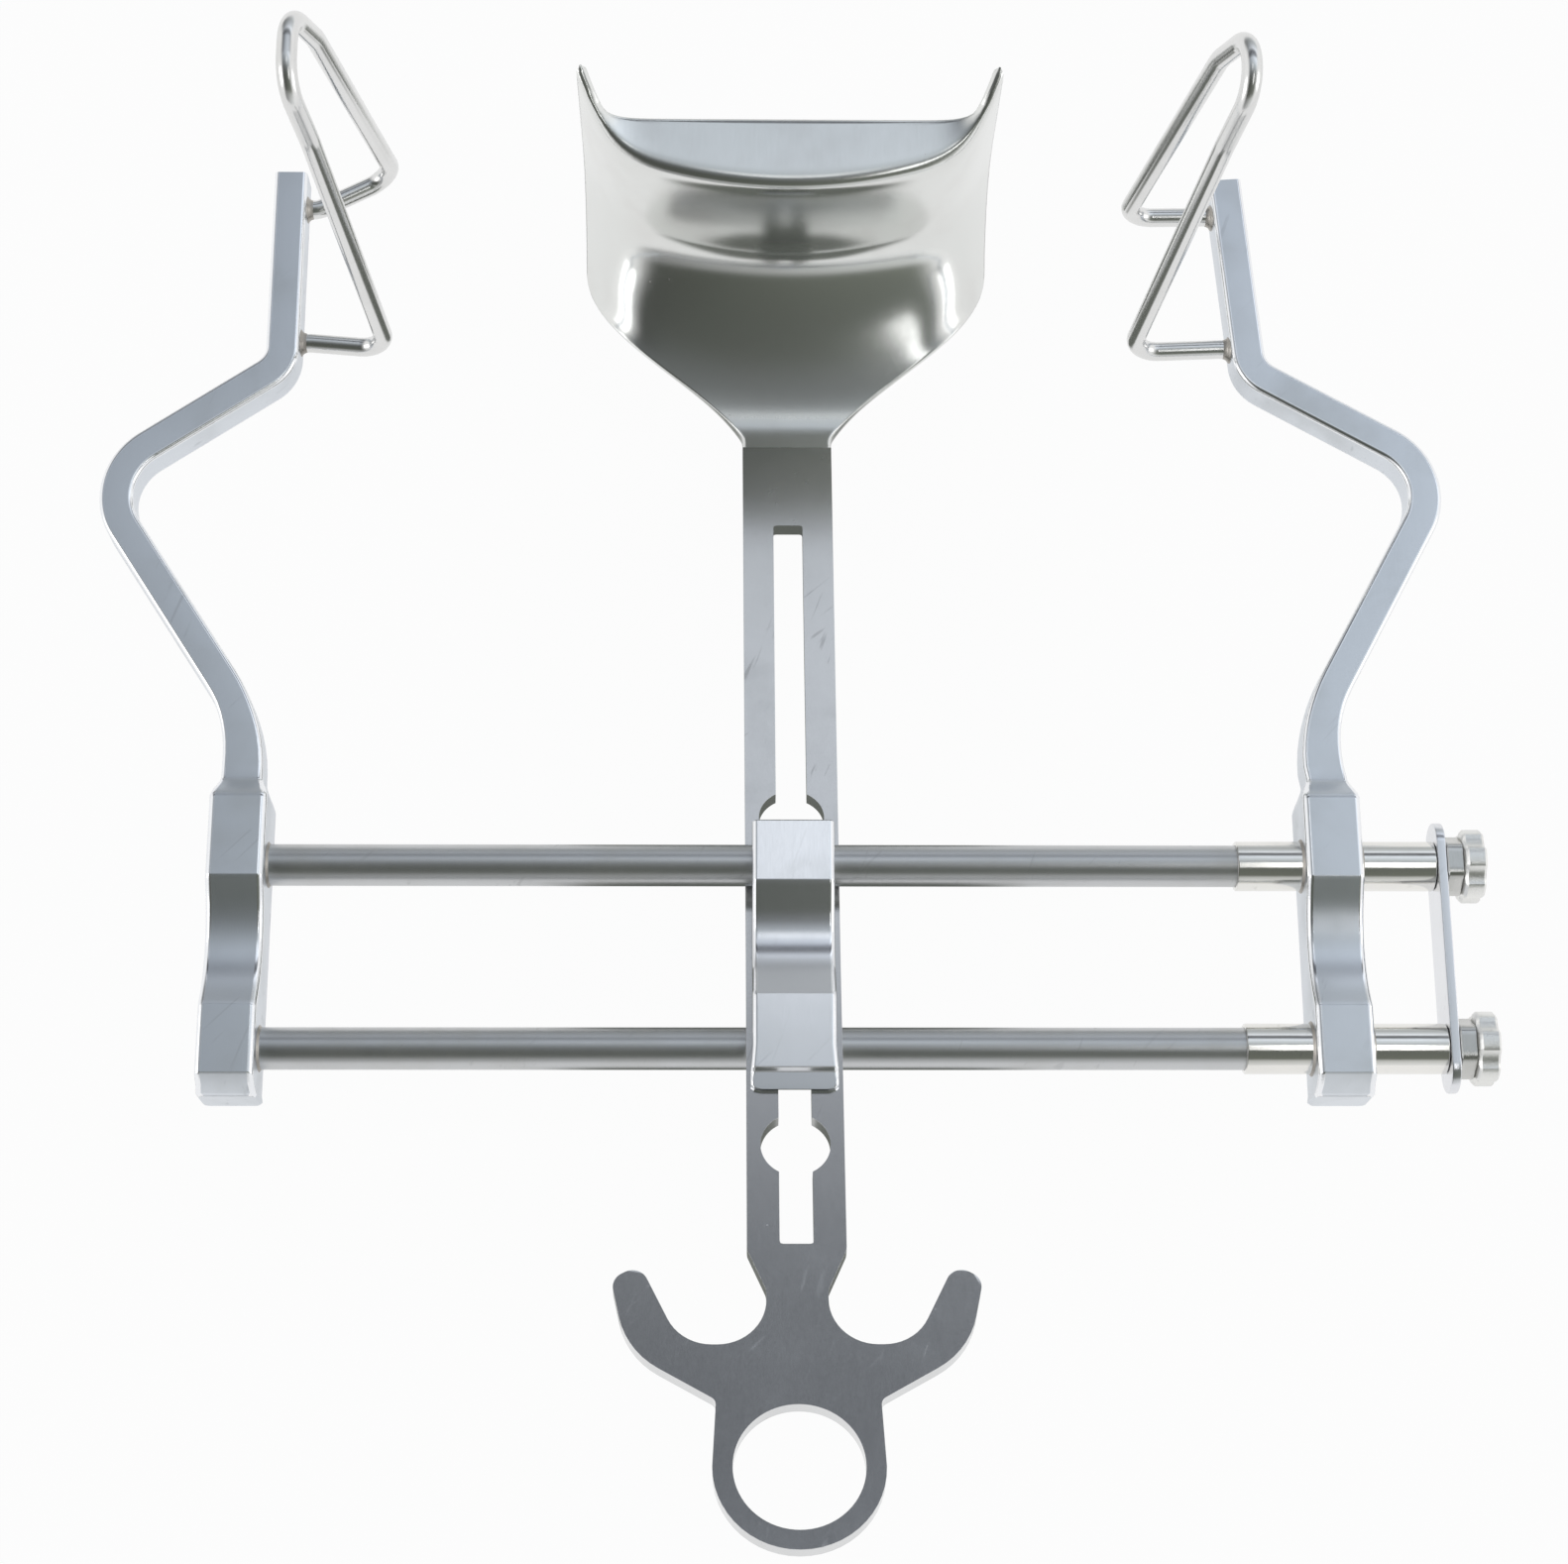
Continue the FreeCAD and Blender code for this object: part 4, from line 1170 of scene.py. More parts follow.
@dataclass
class Rods(SubAssembly):
    """The two rods, the sleeves that run on them, the end plate and the thumb screws."""

    start_x: float = -5.5
    bore_radius: float = 2.55
    bore_depth: float = 11.2
    sleeve_radius: float = 4.8
    sleeve_bore: float = 4.05
    sleeve_start: float = 191.2
    sleeve_end: float = 229.4
    plate_thickness: float = 1.8
    plate_half_depth: float = 5.0
    plate_half_length: float = 26.5
    plate_hole: float = 2.65
    knob_radius: float = 7.1
    knob_thickness: float = 4.2
    knob_edge: float = 0.6
    knob_sides: int = 96
    collar_across: float = 10.6
    collar_thickness: float = 3.2
    collar_cut: float = 1.11
    collar_sides: int = 48
    flutes: int = 6
    flute_radius: float = 3.2
    flute_depth: float = 0.9
    screw_radius: float = 2.5
    screw_depth: float = 10.2

    def build(self) -> None:
        """Builds every piece on the two rod axes."""
        for name, y in zip(("upper", "lower"), LAYOUT.rods):
            self.build_rod(name, y)
            self.build_sleeve(name, y)
            self.build_screw(name, Vector((
                LAYOUT.rod_end_x + self.plate_thickness + LAYOUT.running_gap, y, LAYOUT.rod_z)))
        self.build_plate()

    def build_rod(self, name: str, y: float) -> None:
        """Turns a rod with bevelled ends and a bore for its screw.

        Args:
            name: Which rod it is.
            y: Its place along Y.
        """
        bm = bmesh.new()
        length = LAYOUT.rod_end_x - self.start_x
        radius = LAYOUT.rod_radius
        turned(bm, [(-0.06, 0.0), (-0.06, radius - 0.35), (0.02, radius - 0.12), (0.16, radius),
                    (length * 0.25, radius), (length * 0.5, radius), (length * 0.75, radius),
                    (length - 0.25, radius), (length, radius - 0.25), (length, self.bore_radius),
                    (length - self.bore_depth, self.bore_radius), (length - self.bore_depth, 0.0)],
               Vector((self.start_x, y, LAYOUT.rod_z)))
        self.fit(finished(bm, name + "_rod_turned"), "frame", Finish.ROD, name + "_rod")

    def build_sleeve(self, name: str, y: float) -> None:
        """Turns a guide sleeve with softened rims.

        Args:
            name: Which rod it runs on.
            y: Its place along Y.
        """
        bm = bmesh.new()
        length = self.sleeve_end - self.sleeve_start
        outer = self.sleeve_radius
        inner = self.sleeve_bore
        turned(bm, [(0.0, inner + 0.1), (0.0, outer - 0.22), (0.08, outer - 0.07), (0.25, outer),
                    (length / 2, outer), (length - 0.25, outer), (length - 0.08, outer - 0.07),
                    (length, outer - 0.22), (length, inner + 0.1), (length - 0.1, inner), (0.1, inner)],
               Vector((self.sleeve_start, y, LAYOUT.rod_z)), steps=96, closed=True)
        self.fit(finished(bm, name + "_sleeve_turned"), "sliding_side", Finish.MIRROR, name + "_guide_sleeve")

    def knob_radius_at(self, angle: float) -> float:
        """Finds the fluted knob's radius in a direction.

        Args:
            angle: The direction in radians.

        Returns:
            The radius.
        """
        pitch = math.tau / self.flutes
        off = (angle + pitch / 2) % pitch - pitch / 2
        centre = self.knob_radius + self.flute_radius - self.flute_depth
        inside = self.flute_radius ** 2 - (centre * math.sin(off)) ** 2
        if inside <= 0:
            return self.knob_radius
        return min(self.knob_radius, centre * math.cos(off) - math.sqrt(inside))

    def collar_radius_at(self, angle: float) -> float:
        """Finds the six-sided collar's radius in a direction, with its corners cut."""
        off = angle % math.radians(60) - math.radians(30)
        return min(1 / math.cos(off), self.collar_cut) * self.collar_across / 2

    @staticmethod
    def shaped(centre: Vector, stations: Sequence[tuple[float, float, float]], sides: int,
               radius_at: Callable[[float], float]) -> Mesh:
        """Lofts a body whose radius changes with the direction.

        Args:
            centre: Where its axis starts.
            stations: Distance along the axis, share of the radius and what is added to that.
            sides: Faces round it.
            radius_at: The radius by direction.

        Returns:
            The mesh.
        """
        rings = []
        for along, share, extra in stations:
            ring = []
            for step in range(sides):
                angle = math.tau * step / sides
                radius = radius_at(angle) * share + extra
                ring.append(centre + Vector((along, radius * math.cos(angle), radius * math.sin(angle))))
            rings.append(ring)
        bm = bmesh.new()
        loft(bm, rings)
        return bm

    def build_screw(self, name: str, centre: Vector) -> None:
        """Builds a thumb screw: shank, six-sided collar and fluted knob with a dished face.

        Args:
            name: Which rod it closes.
            centre: The middle of its seat on the end plate.
        """
        knob = self.collar_thickness
        end = knob + self.knob_thickness
        soft = self.knob_edge
        bm = self.shaped(centre, [
            (knob, 0.72, 0.0), (knob, 0.9, 0.0), (knob + 0.12, 1.0, -0.45), (knob + soft, 1.0, 0.0),
            (end - soft, 1.0, 0.0), (end - 0.12, 1.0, -0.45), (end, 0.86, 0.0), (end, 0.62, 0.0),
            (end - 0.35, 0.55, 0.0), (end - 0.45, 0.2, 0.0)], self.knob_sides, self.knob_radius_at)
        self.fit(finished(bm, name + "_knob_fluted"), name + "_screw", Finish.KNOB, name + "_thumb_screw")
        bm = self.shaped(centre, [
            (0.0, 1.0, -0.35), (0.25, 1.0, 0.0), (knob - 0.25, 1.0, 0.0), (knob, 1.0, -0.3)],
            self.collar_sides, self.collar_radius_at)
        radius, depth = self.screw_radius, self.screw_depth
        turned(bm, [(0.3, radius), (0.0, radius), (0.4 - depth, radius), (-depth, radius - 0.4),
                    (-depth, 0.0)], centre, steps=48)
        self.fit(finished(bm, name + "_screw_turned"), name + "_screw", Finish.COLLAR)

    def build_plate(self) -> None:
        """Builds the end plate with its two screw holes."""
        bm = bmesh.new()
        half, long = self.plate_half_depth, self.plate_half_length
        outer = rounded_outline([(long, half), (-long, half), (-long, -half), (long, -half)],
                                {index: half * FULLEST_CORNER for index in range(4)})
        flat_plate(bm, outer, [circle(self.plate_hole, 40, x=y) for y in LAYOUT.rods], self.plate_thickness)
        bevel_creases(bm, 0.3, 2)
        stand_up(bm, LAYOUT.rod_end_x + self.plate_thickness / 2)
        self.fit(finished(bm, "end_plate_blank"), "frame", Finish.SADDLE, "end_plate")


@dataclass
class Saddle(SubAssembly):
    """The saddle that rides on both rods and guides the shank with its web."""

    half_width: float = 7.8
    head: float = 24.5
    tail: float = 28.3
    bevel: float = 3.9
    step: float = 0.6
    ledge: float = 0.95
    ledge_fall: float = 0.15
    flare: float = 0.4
    upper_pad: float = 9.5
    lower_pad: float = 12.9
    waist_top: float = 12.4
    waist_end: float = 10.5
    valley: float = 6.2
    valley_round: float = 0.62
    corner: float = 1.0
    tail_corner: float = 1.7
    tail_round: float = 0.72
    lip: float = 1.5
    web_half_width: float = 2.8
    web_back: float = 6.6
    web_below_bore: float = 2.4
    bore: float = 4.05
    drill_reach: float = 9.0

    def front_height(self, y: float) -> float:
        """Finds the cap's front.

        Args:
            y: Place along Y.

        Returns:
            Its height above the rods' plane.
        """
        past = self.bevel - self.tail - y
        if past > 0:
            ledge = LAYOUT.shank_front(-self.tail) + self.ledge
            if past < self.step:
                return self.lower_pad + (ledge - self.lower_pad) * past / self.step
            return ledge - self.ledge_fall * (past - self.step) / (self.bevel - self.step)
        if y <= -self.waist_end:
            return self.lower_pad
        if y >= self.waist_top:
            return self.upper_pad
        half_waist = (self.waist_top + self.waist_end) / 2
        ends = [Vector((-self.waist_end, self.lower_pad)), Vector((self.waist_top, self.upper_pad))]
        bottom = (ends[0] + ends[1]) / 2 - Vector((0.0, self.valley))
        radius = self.valley_round * half_waist ** 2 / self.valley
        entry, centre, _ = corner_arc(ends[0], bottom, ends[1], radius)
        reach = (entry - bottom).length
        for end in ends:
            way = (end - bottom).normalized()
            if (y - bottom.x) / way.x > reach:
                return bottom.y + (y - bottom.x) * way.y / way.x
        return centre.y - math.sqrt(max(0.0, radius ** 2 - (y - centre.x) ** 2))

    def build(self) -> None:
        """Builds the cap with its bores and the web below it."""
        meet = (self.lip + LAYOUT.shank_front(0.0)) / math.tan(LAYOUT.tilt)
        bevel = self.bevel - self.tail
        waist = self.waist_top + self.waist_end
        stations = sorted({
            -self.tail, 0.3 - self.tail, 0.9 - self.tail, 1.6 - self.tail, 2.3 - self.tail,
            bevel - self.step - 0.15, bevel - self.step + 0.1, bevel - 0.12, bevel + 0.15, -20.0, -15.0,
            -self.waist_end - 0.3, *(waist * step / 24 - self.waist_end for step in range(25)),
            self.waist_top + 0.3, 18.0, 22.5, self.head - 0.75, self.head - 0.35, meet - 0.2, meet + 0.2})
        boxes = []
        for y in stations:
            left = max(0.0, 1 - (y + self.tail) / (self.tail_corner * self.tail_round))
            cut = 1 - math.sqrt(1 - left * left)
            wide = self.half_width + self.flare * clamp((bevel + 1.2 - y) / 1.2)
            boxes.append((y, wide - self.tail_corner * cut, max(-self.lip, LAYOUT.shank_front(y)),
                          self.front_height(y)))
        for short, inset in ((0.1, 0.25), (0.0, 0.8)):
            boxes.append((self.head - short, self.half_width - inset, inset - self.lip,
                          self.upper_pad - inset))
        bm = bmesh.new()
        loft(bm, [section(Vector((LAYOUT.saddle_x, y, LAYOUT.rod_z)), Y_AXIS,
                          rounded_box(*box, self.corner)) for y, *box in boxes])
        mark_corner_strips(bm)
        self.drill_and_fit(bm, "saddle_forging", "centre_saddle")
        self.build_web()

    def build_web(self) -> None:
        """Builds the web that lies in the shank's slot."""
        low = -(LAYOUT.rod_y + self.bore + self.web_below_bore)
        tail = 0.5 - self.tail
        tail_front = LAYOUT.shank_front(-self.tail)
        bm = bmesh.new()
        flat_plate(bm, [(self.head - 0.3, -1.4), (self.head - 0.3, -self.web_back), (low + 1, -self.web_back),
                        (low, -self.web_back + 2), (tail, tail_front - 1), (tail, tail_front + 0.2),
                        (0.0, LAYOUT.shank_front(0.0) + 0.2)], [], self.web_half_width * 2)
        bevel_creases(bm, 0.3, 2, least=50.0)
        stand_up(bm, LAYOUT.saddle_x)
        self.drill_and_fit(bm, "saddle_web")

    def drill_and_fit(self, bm: Mesh, name: str, *nodes: str) -> None:
        """Finishes a piece of the saddle and drills it for the rods.

        Args:
            bm: The piece's mesh.
            name: Its name.
            *nodes: The CAD nodes it stands for.
        """
        piece = finished(bm, name)
        bore_for_rods(piece, LAYOUT.saddle_x, self.drill_reach, self.bore)
        self.fit(piece, "saddle", Finish.SADDLE, *nodes)


@dataclass
class TroughSizes:
    """Sizes of the centre blade's curved end."""

    neck: float = 132.0
    run: float = 3.0
    wall: float = 22.2
    half: float = 43.0
    widest_at: float = 0.68
    bow: float = 90.0
    flank_at: float = 0.74
    flank: float = 0.095
    face_bow: float = 190.0
    fold_at: float = 0.78
    fold: float = 0.17
    fold_from: float = 0.36
    fold_over: float = 0.3
    horn: float = 7.0
    horn_at: float = 0.76
    lip: float = 1.8
    reach: float = 15.2
    least_roll: float = 0.12
    first_turn: float = 30.0
    turn_share: float = 0.12
    last_turn: float = 48.0
    last_share: float = 0.20
    length: float = 45.9
    thin: float = 2.2
    thick: float = 3.0
    thin_from: float = 0.7
    neck_half: float = 9.5
    rim: float = 0.7


@dataclass
class ShankSizes:
    """Sizes of the centre blade's flat shank, hooks and ring."""

    width: float = 17.8
    neck_width: float = 19.0
    neck_at: float = 129.0
    slot_width: float = 6.1
    slot_top: float = 106.9
    slot_end: float = 61.9
    slot_corner: float = 0.6
    keyhole: float = 6.4
    upper_keyhole: float = 31.4
    lower_keyhole: float = 41.7
    end: float = 63.0
    waist_half: float = 5.5
    waist_at: float = 71.0
    hook_root: float = 81.5
    hook_turn: float = 20.5
    hook_span: float = 33.0
    hook_width: float = 5.8
    hook_tip: float = 66.0
    hook_heel: float = 82.7
    ring_neck: float = 92.0
    ring_at: float = 104.2
    ring_outer: float = 14.9
    ring_inner: float = 11.4
    edge: float = 0.65


@dataclass
class CentreBlade(SubAssembly):
    """The centre blade: a trough with a rolled lip on a slotted shank with finger hooks and a ring."""

    trough: TroughSizes = field(default_factory=TroughSizes)
    shank: ShankSizes = field(default_factory=ShankSizes)

    def build(self) -> None:
        """Builds the trough and the flat part and tilts them between the rods."""
        self.fit(self.build_trough(), "blade", Finish.BLADE, "centre_blade")
        self.fit(self.build_handle(), "blade", Finish.HANDLE)

    def tilt(self, bm: Mesh) -> None:
        """Moves a mesh from the shank's own plane to its place between the rods."""
        bmesh.ops.rotate(bm, cent=(0, 0, 0), matrix=Matrix.Rotation(-LAYOUT.tilt, 3, "X"), verts=bm.verts)
        bmesh.ops.translate(bm, verts=bm.verts, vec=(LAYOUT.saddle_x, 0, LAYOUT.rod_z))

    def half_width(self, share: float) -> float:
        """Finds half the trough's width at a share of the way round its bend."""
        rise = min(1.0, share / self.trough.widest_at)
        return self.trough.neck_half + (self.trough.half - self.trough.neck_half) * (rise + eased(rise)) / 2

    def sag(self, across: float) -> float:
        """Finds how far the sheet falls back from its middle line at a distance across."""
        beyond = max(0.0, abs(across) - self.trough.half * self.trough.flank_at)
        return across * across / (2 * self.trough.bow) + self.trough.flank * beyond * beyond

    def lean_at(self, share: float) -> float:
        """Finds the sheet's angle, which changes quickly at both ends of the bend.

        Args:
            share: Share of the way round the bend.

        Returns:
            The angle to the shank in radians.
        """
        sizes = self.trough
        turn = math.pi / 2 + LAYOUT.tilt
        first, last = math.radians(sizes.first_turn), math.radians(sizes.last_turn)
        near, far = sizes.turn_share, sizes.last_share
        if share < near:
            return first * share / near
        if share > 1 - far:
            return turn - last * (1 - share) / far
        return first + (turn - first - last) * (share - near) / (1 - near - far)

    def bent(self, share: float, column: float) -> Vector:
        """Places a point on the trough's bend.

        Args:
            share: Share of the way round the bend.
            column: Place across, from -1 to 1.

        Returns:
            The point in the shank's plane.
        """
        sizes = self.trough
        steps = 48
        piece = sizes.length * share / steps
        leans = [self.lean_at(share * (step + 0.5) / steps) for step in range(steps)]
        along = sizes.neck + piece * sum(math.cos(lean) for lean in leans)
        up = piece * sum(math.sin(lean) for lean in leans)
        across = self.half_width(share) * column
        rise = clamp((share - sizes.fold_from) / sizes.fold_over)
        beyond = max(0.0, abs(column) - sizes.fold_at) * self.half_width(share) * rise
        fold = across * across / (2 * sizes.face_bow) + sizes.fold * beyond * beyond
        drop = (fold + (self.sag(across) - fold) * share ** 3) * eased(share)
        lean = self.lean_at(share)
        return Vector((across, along + drop * math.sin(lean), up - drop * math.cos(lean)))

    def surface(self, row: float, column: float) -> Vector:
        """Places a point of the trough's middle surface.

        Args:
            row: -1 to 0 on the flat run, to 1 round the bend, to 2 up the wall, to 3 over the lip and
                to 4 along the lip's flat.
            column: Place across, from -1 to 1.

        Returns:
            The point in the shank's plane.
        """
        sizes = self.trough
        if row <= 0:
            return Vector((sizes.neck_half * column, sizes.neck + row * sizes.run, 0.0))
        if row <= 1:
            return self.bent(row, column)
        turn = math.pi / 2 + LAYOUT.tilt
        beyond = max(0.0, abs(column) - sizes.horn_at) / (1 - sizes.horn_at)
        rise = (sizes.wall + sizes.horn * beyond * beyond) * min(1.0, row - 1)
        room = sizes.reach - self.sag(sizes.half * column)
        rolled = eased(clamp((room - 0.5) / 6.5))
        curl = math.pi / 2 * (sizes.least_roll + (1 - sizes.least_roll) * rolled)
        radius = sizes.lip * math.pi / 2 / curl
        angle = curl * clamp(row - 2)
        flat = max(1.0, room - radius * (1 - math.cos(curl))) * max(0.0, row - 3)
        rise += radius * math.sin(angle) + flat * math.cos(angle)
        out = radius * (1 - math.cos(angle)) + flat * math.sin(angle)
        return self.bent(1.0, column) + Vector((
            0.0, rise * math.cos(turn) + out * math.sin(turn), rise * math.sin(turn) - out * math.cos(turn)))

    def half_thickness(self, row: float, column: float) -> Vector:
        """Finds the way from the trough's middle surface to its front face.

        Args:
            row: The row, as for surface.
            column: The column, as for surface.

        Returns:
            A vector as long as half the sheet's thickness.
        """
        step = 0.002
        along = self.surface(min(row + step, 4.0), column) - self.surface(row - step, column)
        across = self.surface(row, min(column + step, 1.0)) - self.surface(row, max(column - step, -1.0))
        sizes = self.trough
        thickness = sizes.thick + (sizes.thin - sizes.thick) * clamp(row / sizes.thin_from)
        return across.cross(along).normalized() * (thickness / 2)

    def build_trough(self) -> Piece:
        """Bends two grids into the trough's faces and closes them with a rounded rim.

        Returns:
            The piece.
        """
        net_rows = [-1.0, -0.4, *(step / 16 for step in range(17)),
                    1.45, 1.85, 2.15, 2.5, 2.85, 3.15, 3.6, 4.0]
        net_columns = [math.sin(math.pi / 2 * step / 8) for step in range(-8, 9)]
        middle, way_out = (SmoothNet([[point(row, column) for column in net_columns] for row in net_rows])
                           for point in (self.surface, self.half_thickness))
        rows = even_steps(len(net_rows) - 3, 3, (), (0.02, 0.05, 0.1, 0.17))
        columns = even_steps(len(net_columns) - 3, 4, (0.08, 0.2, 0.36, 0.6), (0.08, 0.2, 0.36, 0.6))
        places = [[middle.at(row, column) for column in columns] for row in rows]
        bm = bmesh.new()
        edges = []
        for side in (1, -1):
            verts = bmesh.ops.create_grid(bm, x_segments=len(columns) - 1, y_segments=len(rows) - 1,
                                          size=0.5)["verts"]
            for vert in verts:
                line = round((vert.co.y + 0.5) * (len(rows) - 1))
                column = round((vert.co.x + 0.5) * (len(columns) - 1))
                softened = side * rim_share(places, line, column, self.trough.rim)
                vert.co = places[line][column] + way_out.at(rows[line], columns[column]) * softened
            edges += {edge for vert in verts for edge in vert.link_edges if edge.is_boundary}
        bmesh.ops.bridge_loops(bm, edges=edges)
        bmesh.ops.recalc_face_normals(bm, faces=bm.faces)
        self.tilt(bm)
        return finished(bm, "trough_sheet", smooth_angle=60.0)

    def outline(self) -> list[Point2]:
        """Lists the outline of the shank, hooks and ring.

        Returns:
            Its points in the shank's plane.
        """
        sizes = self.shank
        run = sizes.hook_heel - sizes.hook_tip
        tip = sizes.hook_width * 0.49
        right = [
            (sizes.neck_width / 2, sizes.neck_at), (sizes.width / 2 + 0.1, 0.0),
            (sizes.width / 2, -sizes.end),
            (sizes.waist_half, -sizes.waist_at), (sizes.waist_half, -sizes.hook_root),
            (sizes.hook_turn, -sizes.hook_root),
            (sizes.hook_span - sizes.hook_width * 0.876, -sizes.hook_tip),
            (sizes.hook_span, -(sizes.hook_tip + sizes.hook_width * 0.483)),
            (sizes.hook_span - run * 0.18, -sizes.hook_heel), (sizes.ring_outer - 0.6, -sizes.ring_neck),
            (sizes.ring_outer, -sizes.ring_at), (sizes.ring_outer, -(sizes.ring_at + sizes.ring_outer)),
        ]
        radii = {2: 2.5, 3: 3.0, 4: 8.6, 5: 8.6, 6: tip, 7: tip, 8: 15.0, 9: 1.6,
                 11: sizes.ring_outer * 0.995}
        last = 2 * len(right) - 1
        radii |= {last - corner: radius for corner, radius in radii.items()}
        return rounded_outline(right + [(-x, y) for x, y in reversed(right)], radii, turn=7.0)

    def slot(self) -> list[Point2]:
        """Lists the outline of the slot with its two keyholes.

        Returns:
            Its points in the shank's plane.
        """
        sizes = self.shank
        half, corner = sizes.slot_width / 2, sizes.slot_corner
        swing = math.asin(half / sizes.keyhole)
        ends = [(half - corner, 0.0), (half - corner / 4, corner / 4), (half, corner)]
        right = [(x, y - sizes.slot_end) for x, y in ends]
        for centre in (-sizes.lower_keyhole, sizes.upper_keyhole):
            for step in range(25):
                angle = -math.pi / 2 + swing + (math.pi - 2 * swing) * step / 24
                right.append((sizes.keyhole * math.cos(angle), centre + sizes.keyhole * math.sin(angle)))
        right += [(x, sizes.slot_top - y) for x, y in reversed(ends)]
        return right + [(-x, y) for x, y in reversed(right)]

    def build_handle(self) -> Piece:
        """Cuts the flat part out of sheet and softens its edges.

        Returns:
            The piece.
        """
        sizes = self.shank
        bm = bmesh.new()
        flat_plate(bm, self.outline(), [self.slot(), circle(sizes.ring_inner, 72, y=-sizes.ring_at)],
                   LAYOUT.shank_thickness)
        bevel_creases(bm, sizes.edge, 4, least=60.0, below=sizes.neck_at - 0.01)
        self.tilt(bm)
        return finished(bm, "shank_and_handle", smooth_angle=40.0)


# Studio


@dataclass(frozen=True)
class Lamp:
    """A soft lamp, placed by its direction from the middle of the table, in metres."""

    name: str
    direction: tuple[float, float, float]
    width: float
    height: float
    brightness: float


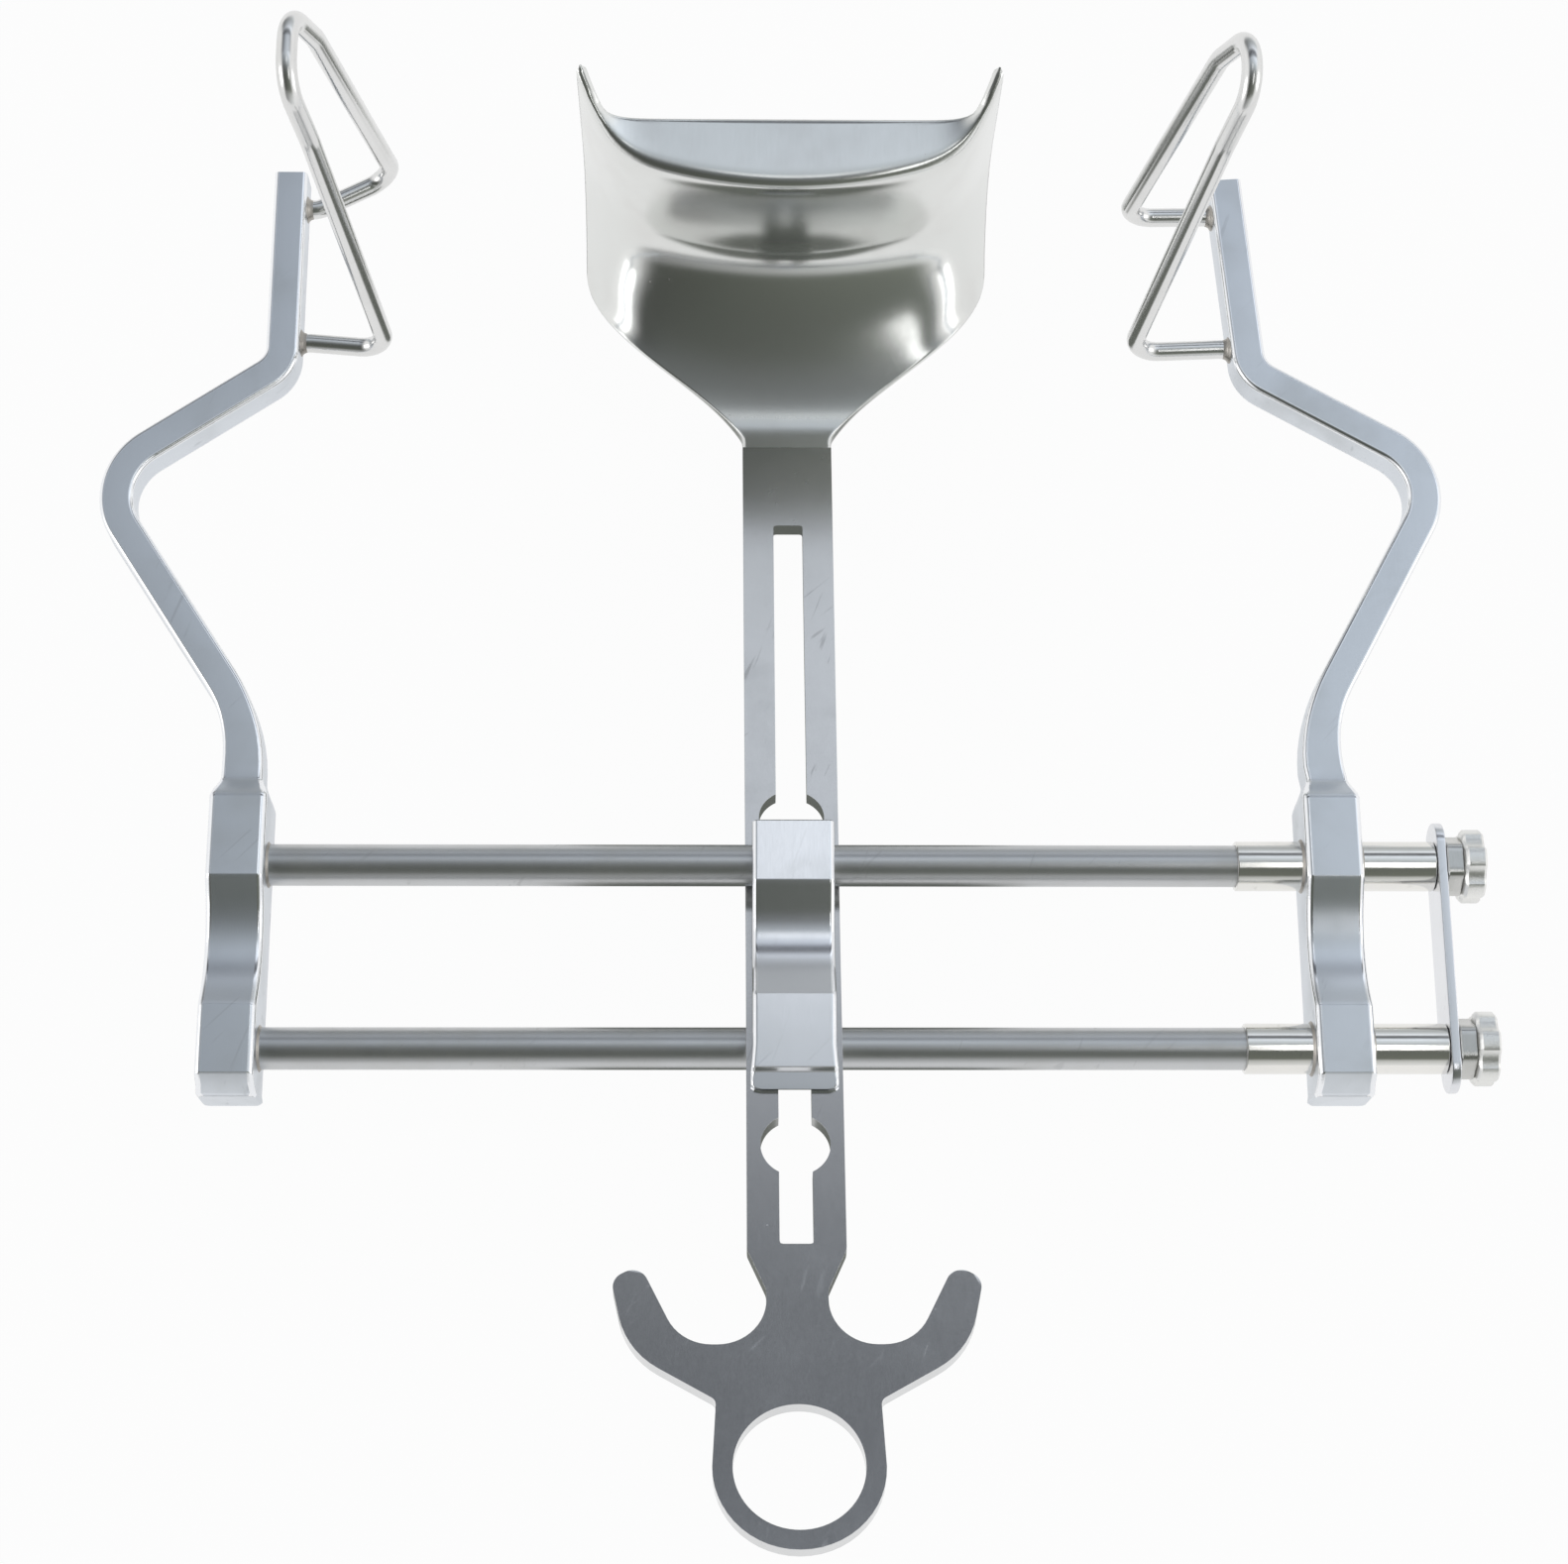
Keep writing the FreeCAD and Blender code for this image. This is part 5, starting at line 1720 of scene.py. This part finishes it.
@dataclass
class Studio:
    """The pale floor, the soft light and the camera of the photograph."""

    image_width: int = 1582
    focal_pixels: float = 3120.0
    sensor: float = 36.0
    distance: float = 600.0
    target: tuple[float, float, float] = (104.4, 34.93, 7.0)
    lean: float = 18.0
    yaw: float = 1.0
    roll: float = 0.11
    floor_z: float = -47.5
    floor_half: float = 3000.0
    floor_colour: Colour = (0.86, 0.86, 0.86)
    floor_to_camera: float = 0.95
    floor_to_metal: float = 0.90
    # A painted shadow on the floor under the part, which only reflections in the metal show.
    painted_shadow_half_width: float = 38.0
    painted_shadow_from: float = -70.0
    painted_shadow_to: float = 122.0
    painted_shadow_fade: float = 16.0
    painted_shadow_colour: Colour = (0.12, 0.13, 0.11)
    wall_start: float = 0.45
    wall_full: float = 0.80
    bands: tuple[tuple[float, Colour], ...] = (
        (-180, (0.50, 0.50, 0.50)), (-100, (0.68, 0.69, 0.69)), (-85, (0.62, 0.63, 0.63)),
        (-70, (0.48, 0.49, 0.48)), (-58, (0.13, 0.14, 0.12)), (-25, (0.115, 0.124, 0.11)),
        (-8, (0.17, 0.18, 0.18)), (6, (0.38, 0.41, 0.43)), (20, (0.58, 0.63, 0.68)),
        (29, (0.76, 0.82, 0.90)), (40, (0.11, 0.117, 0.13)), (46, (0.15, 0.158, 0.17)),
        (54, (0.80, 0.845, 0.91)), (64, (0.50, 0.53, 0.56)), (78, (0.38, 0.40, 0.41)),
        (92, (0.60, 0.62, 0.63)), (180, (0.40, 0.40, 0.40)))
    table_middle: tuple[float, float, float] = (105.0, 30.0, 0.0)
    lamp_distance: float = 900.0
    lamps: tuple[Lamp, ...] = (
        Lamp("overhead_softbox", (0.31, -0.17, 0.935), 0.11, 0.34, 1.8),
        Lamp("middle_softbox", (0.02, 0.276, 0.961), 0.16, 0.16, 0.62),
        Lamp("left_softbox", (-0.88, -0.10, 0.42), 0.45, 0.45, 1.4),
        Lamp("right_softbox", (0.92, -0.05, 0.38), 0.40, 0.40, 1.3))

    def build(self) -> None:
        """Builds the studio."""
        bpy.context.scene.view_settings.view_transform = "Standard"
        self.build_camera()
        self.build_floor()
        self.build_world()
        self.build_lamps()

    @staticmethod
    def level_axes(back: Vector) -> tuple[Vector, Vector]:
        """Finds the level direction and the upward one across a line of sight."""
        level = (X_AXIS - back * back.x).normalized()
        return level, back.cross(level)

    @staticmethod
    def place(name: str, data: bpy.types.ID, axes: Sequence[Vector], middle: Vector) -> Piece:
        """Hangs a camera or lamp in the scene.

        Args:
            name: Its name.
            data: The camera's or lamp's data.
            axes: Its right, its up and its back.
            middle: Its place in millimetres.

        Returns:
            The new object.
        """
        held = bpy.data.objects.new(name, data)
        held.matrix_world = Matrix.Translation(middle * MM) @ Matrix(axes).transposed().to_4x4()
        bpy.context.scene.collection.objects.link(held)
        return held

    def build_camera(self) -> None:
        """Places the camera by the angles found from the photograph's rods."""
        lean, yaw, roll = (math.radians(angle) for angle in (self.lean, self.yaw, self.roll))
        back = Vector((-math.sin(yaw), -math.sin(lean) * math.cos(yaw), math.cos(lean) * math.cos(yaw)))
        back.normalize()
        level, above = self.level_axes(back)
        right = level * math.cos(roll) + above * math.sin(roll)
        up = above * math.cos(roll) - level * math.sin(roll)
        data = bpy.data.cameras.new("photo_camera")
        data.sensor_fit = "HORIZONTAL"
        data.sensor_width = self.sensor
        data.lens = self.focal_pixels / self.image_width * self.sensor
        data.clip_start = 0.01
        data.clip_end = 20.0
        bpy.context.scene.camera = self.place("photo_camera", data, (right, up, back),
                                              Vector(self.target) + back * self.distance)

    def build_floor(self) -> None:
        """Lays the pale floor, with a painted shadow under the part that only metal shows in its reflections.
        """
        bm = bmesh.new()
        bmesh.ops.create_grid(bm, x_segments=1, y_segments=1, size=self.floor_half)
        bmesh.ops.translate(bm, verts=bm.verts, vec=(100.0, 30.0, self.floor_z))
        floor = as_object(bm, "studio_floor")
        paper = bpy.data.materials.new("studio_paper")
        net = Wiring.over(paper)
        path = net.node("ShaderNodeLightPath").outputs
        by_metal = net.math("ADD", path["Is Glossy Ray"], path["Is Transmission Ray"])
        place = net.split(net.node("ShaderNodeTexCoord").outputs["Object"])
        # shaded is the share of the painted shadow, seen only by rays from the metal.
        shaded = by_metal
        for axis, middle, half in (
                ("X", LAYOUT.saddle_x, self.painted_shadow_half_width),
                ("Y", (self.painted_shadow_from + self.painted_shadow_to) / 2, (self.painted_shadow_to - self.painted_shadow_from) / 2)):
            offset = net.math("ABSOLUTE", net.math("SUBTRACT", place[axis], middle * MM))
            away = net.band(offset, half * MM, (half + self.painted_shadow_fade) * MM)
            shaded = net.math("MULTIPLY", shaded, net.math("SUBTRACT", 1.0, away))
        glow = net.node("ShaderNodeEmission", {"Color": net.blend(shaded, WHITE, self.painted_shadow_colour)})
        share = net.math("ADD", net.math("MULTIPLY", path["Is Camera Ray"], self.floor_to_camera),
                         net.math("MULTIPLY", by_metal, self.floor_to_metal), clamp=True)
        diffuse = net.node("ShaderNodeBsdfDiffuse", {"Color": self.floor_colour})
        self.end_with(net, "ShaderNodeOutputMaterial", share, diffuse, glow)
        floor.data.materials.append(paper)

    @staticmethod
    def end_with(net: Wiring, output: str, share: Socket, first: bpy.types.Node,
                 second: bpy.types.Node) -> None:
        """Mixes two shaders by the second one's share and feeds the output with them."""
        mix = net.node("ShaderNodeMixShader", {0: share, 1: first.outputs[0], 2: second.outputs[0]})
        net.node(output, {"Surface": mix.outputs[0]})

    def build_world(self) -> None:
        """Paints the room in bands from one side of the table over the ceiling to the other."""
        world = bpy.data.worlds.new("studio_room")
        bpy.context.scene.world = world
        net = Wiring.over(world)
        way = net.split(net.node("ShaderNodeTexCoord").outputs["Generated"])
        angle = net.math("ARCTAN2", way["Y"], way["Z"])
        turn = net.math("ADD", net.math("MULTIPLY", angle, 1 / math.tau), 0.5)
        bands = net.node("ShaderNodeValToRGB", {"Fac": turn})
        ramp = bands.color_ramp
        ramp.interpolation = "EASE"
        for index, (degrees, colour) in enumerate(self.bands):
            place = degrees / 360 + 0.5
            stop = ramp.elements[index] if index < 2 else ramp.elements.new(place)
            stop.position = place
            stop.color = (*colour, 1.0)
        room = net.node("ShaderNodeVectorMath", {
            0: bands.outputs["Color"], "Scale": net.math("ADD", way["X"], 1.0)}, operation="SCALE")
        wall = net.band(net.math("ABSOLUTE", way["X"]), self.wall_start, self.wall_full)
        lit = net.node("ShaderNodeBackground", {"Color": net.blend(wall, room.outputs[0], WHITE)})
        white = net.node("ShaderNodeBackground", {"Color": WHITE})
        seen = net.node("ShaderNodeLightPath").outputs["Is Camera Ray"]
        self.end_with(net, "ShaderNodeOutputWorld", seen, lit, white)

    def build_lamps(self) -> None:
        """Hangs the soft lamps."""
        for plan in self.lamps:
            data = bpy.data.lights.new(plan.name, "AREA")
            data.shape = "RECTANGLE"
            data.size = plan.width
            data.size_y = plan.height
            data.energy = plan.brightness * math.pi * plan.width * plan.height
            way = Vector(plan.direction).normalized()
            lamp = self.place(plan.name, data, (*self.level_axes(way), way),
                              Vector(self.table_middle) + way * self.lamp_distance)
            lamp.visible_camera = False


def main() -> None:
    """Loads the frame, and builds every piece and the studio."""
    logging.basicConfig(level=logging.INFO, format="%(name)s: %(message)s")
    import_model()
    rack = FinishRack()
    fixed = Arm(rack, Side.FIXED)
    sliding = Arm(rack, Side.SLIDING, lean=4.3, station=LAYOUT.sliding_x, bore=4.83)
    for part in (
            fixed, sliding,
            WireBlade(rack, fixed, reach=20.9, upper_corner=166.6, leg_upper=157.9, leg_lean=0.115),
            WireBlade(rack, sliding, reach=22.4, upper_corner=157.6, leg_upper=154.6, leg_lean=0.145),
            Rods(rack), Saddle(rack), CentreBlade(rack)):
        part.build()
    Studio().build()
    bpy.context.view_layer.update()
    LOG.info("built")


if __name__ == "__main__":
    main()
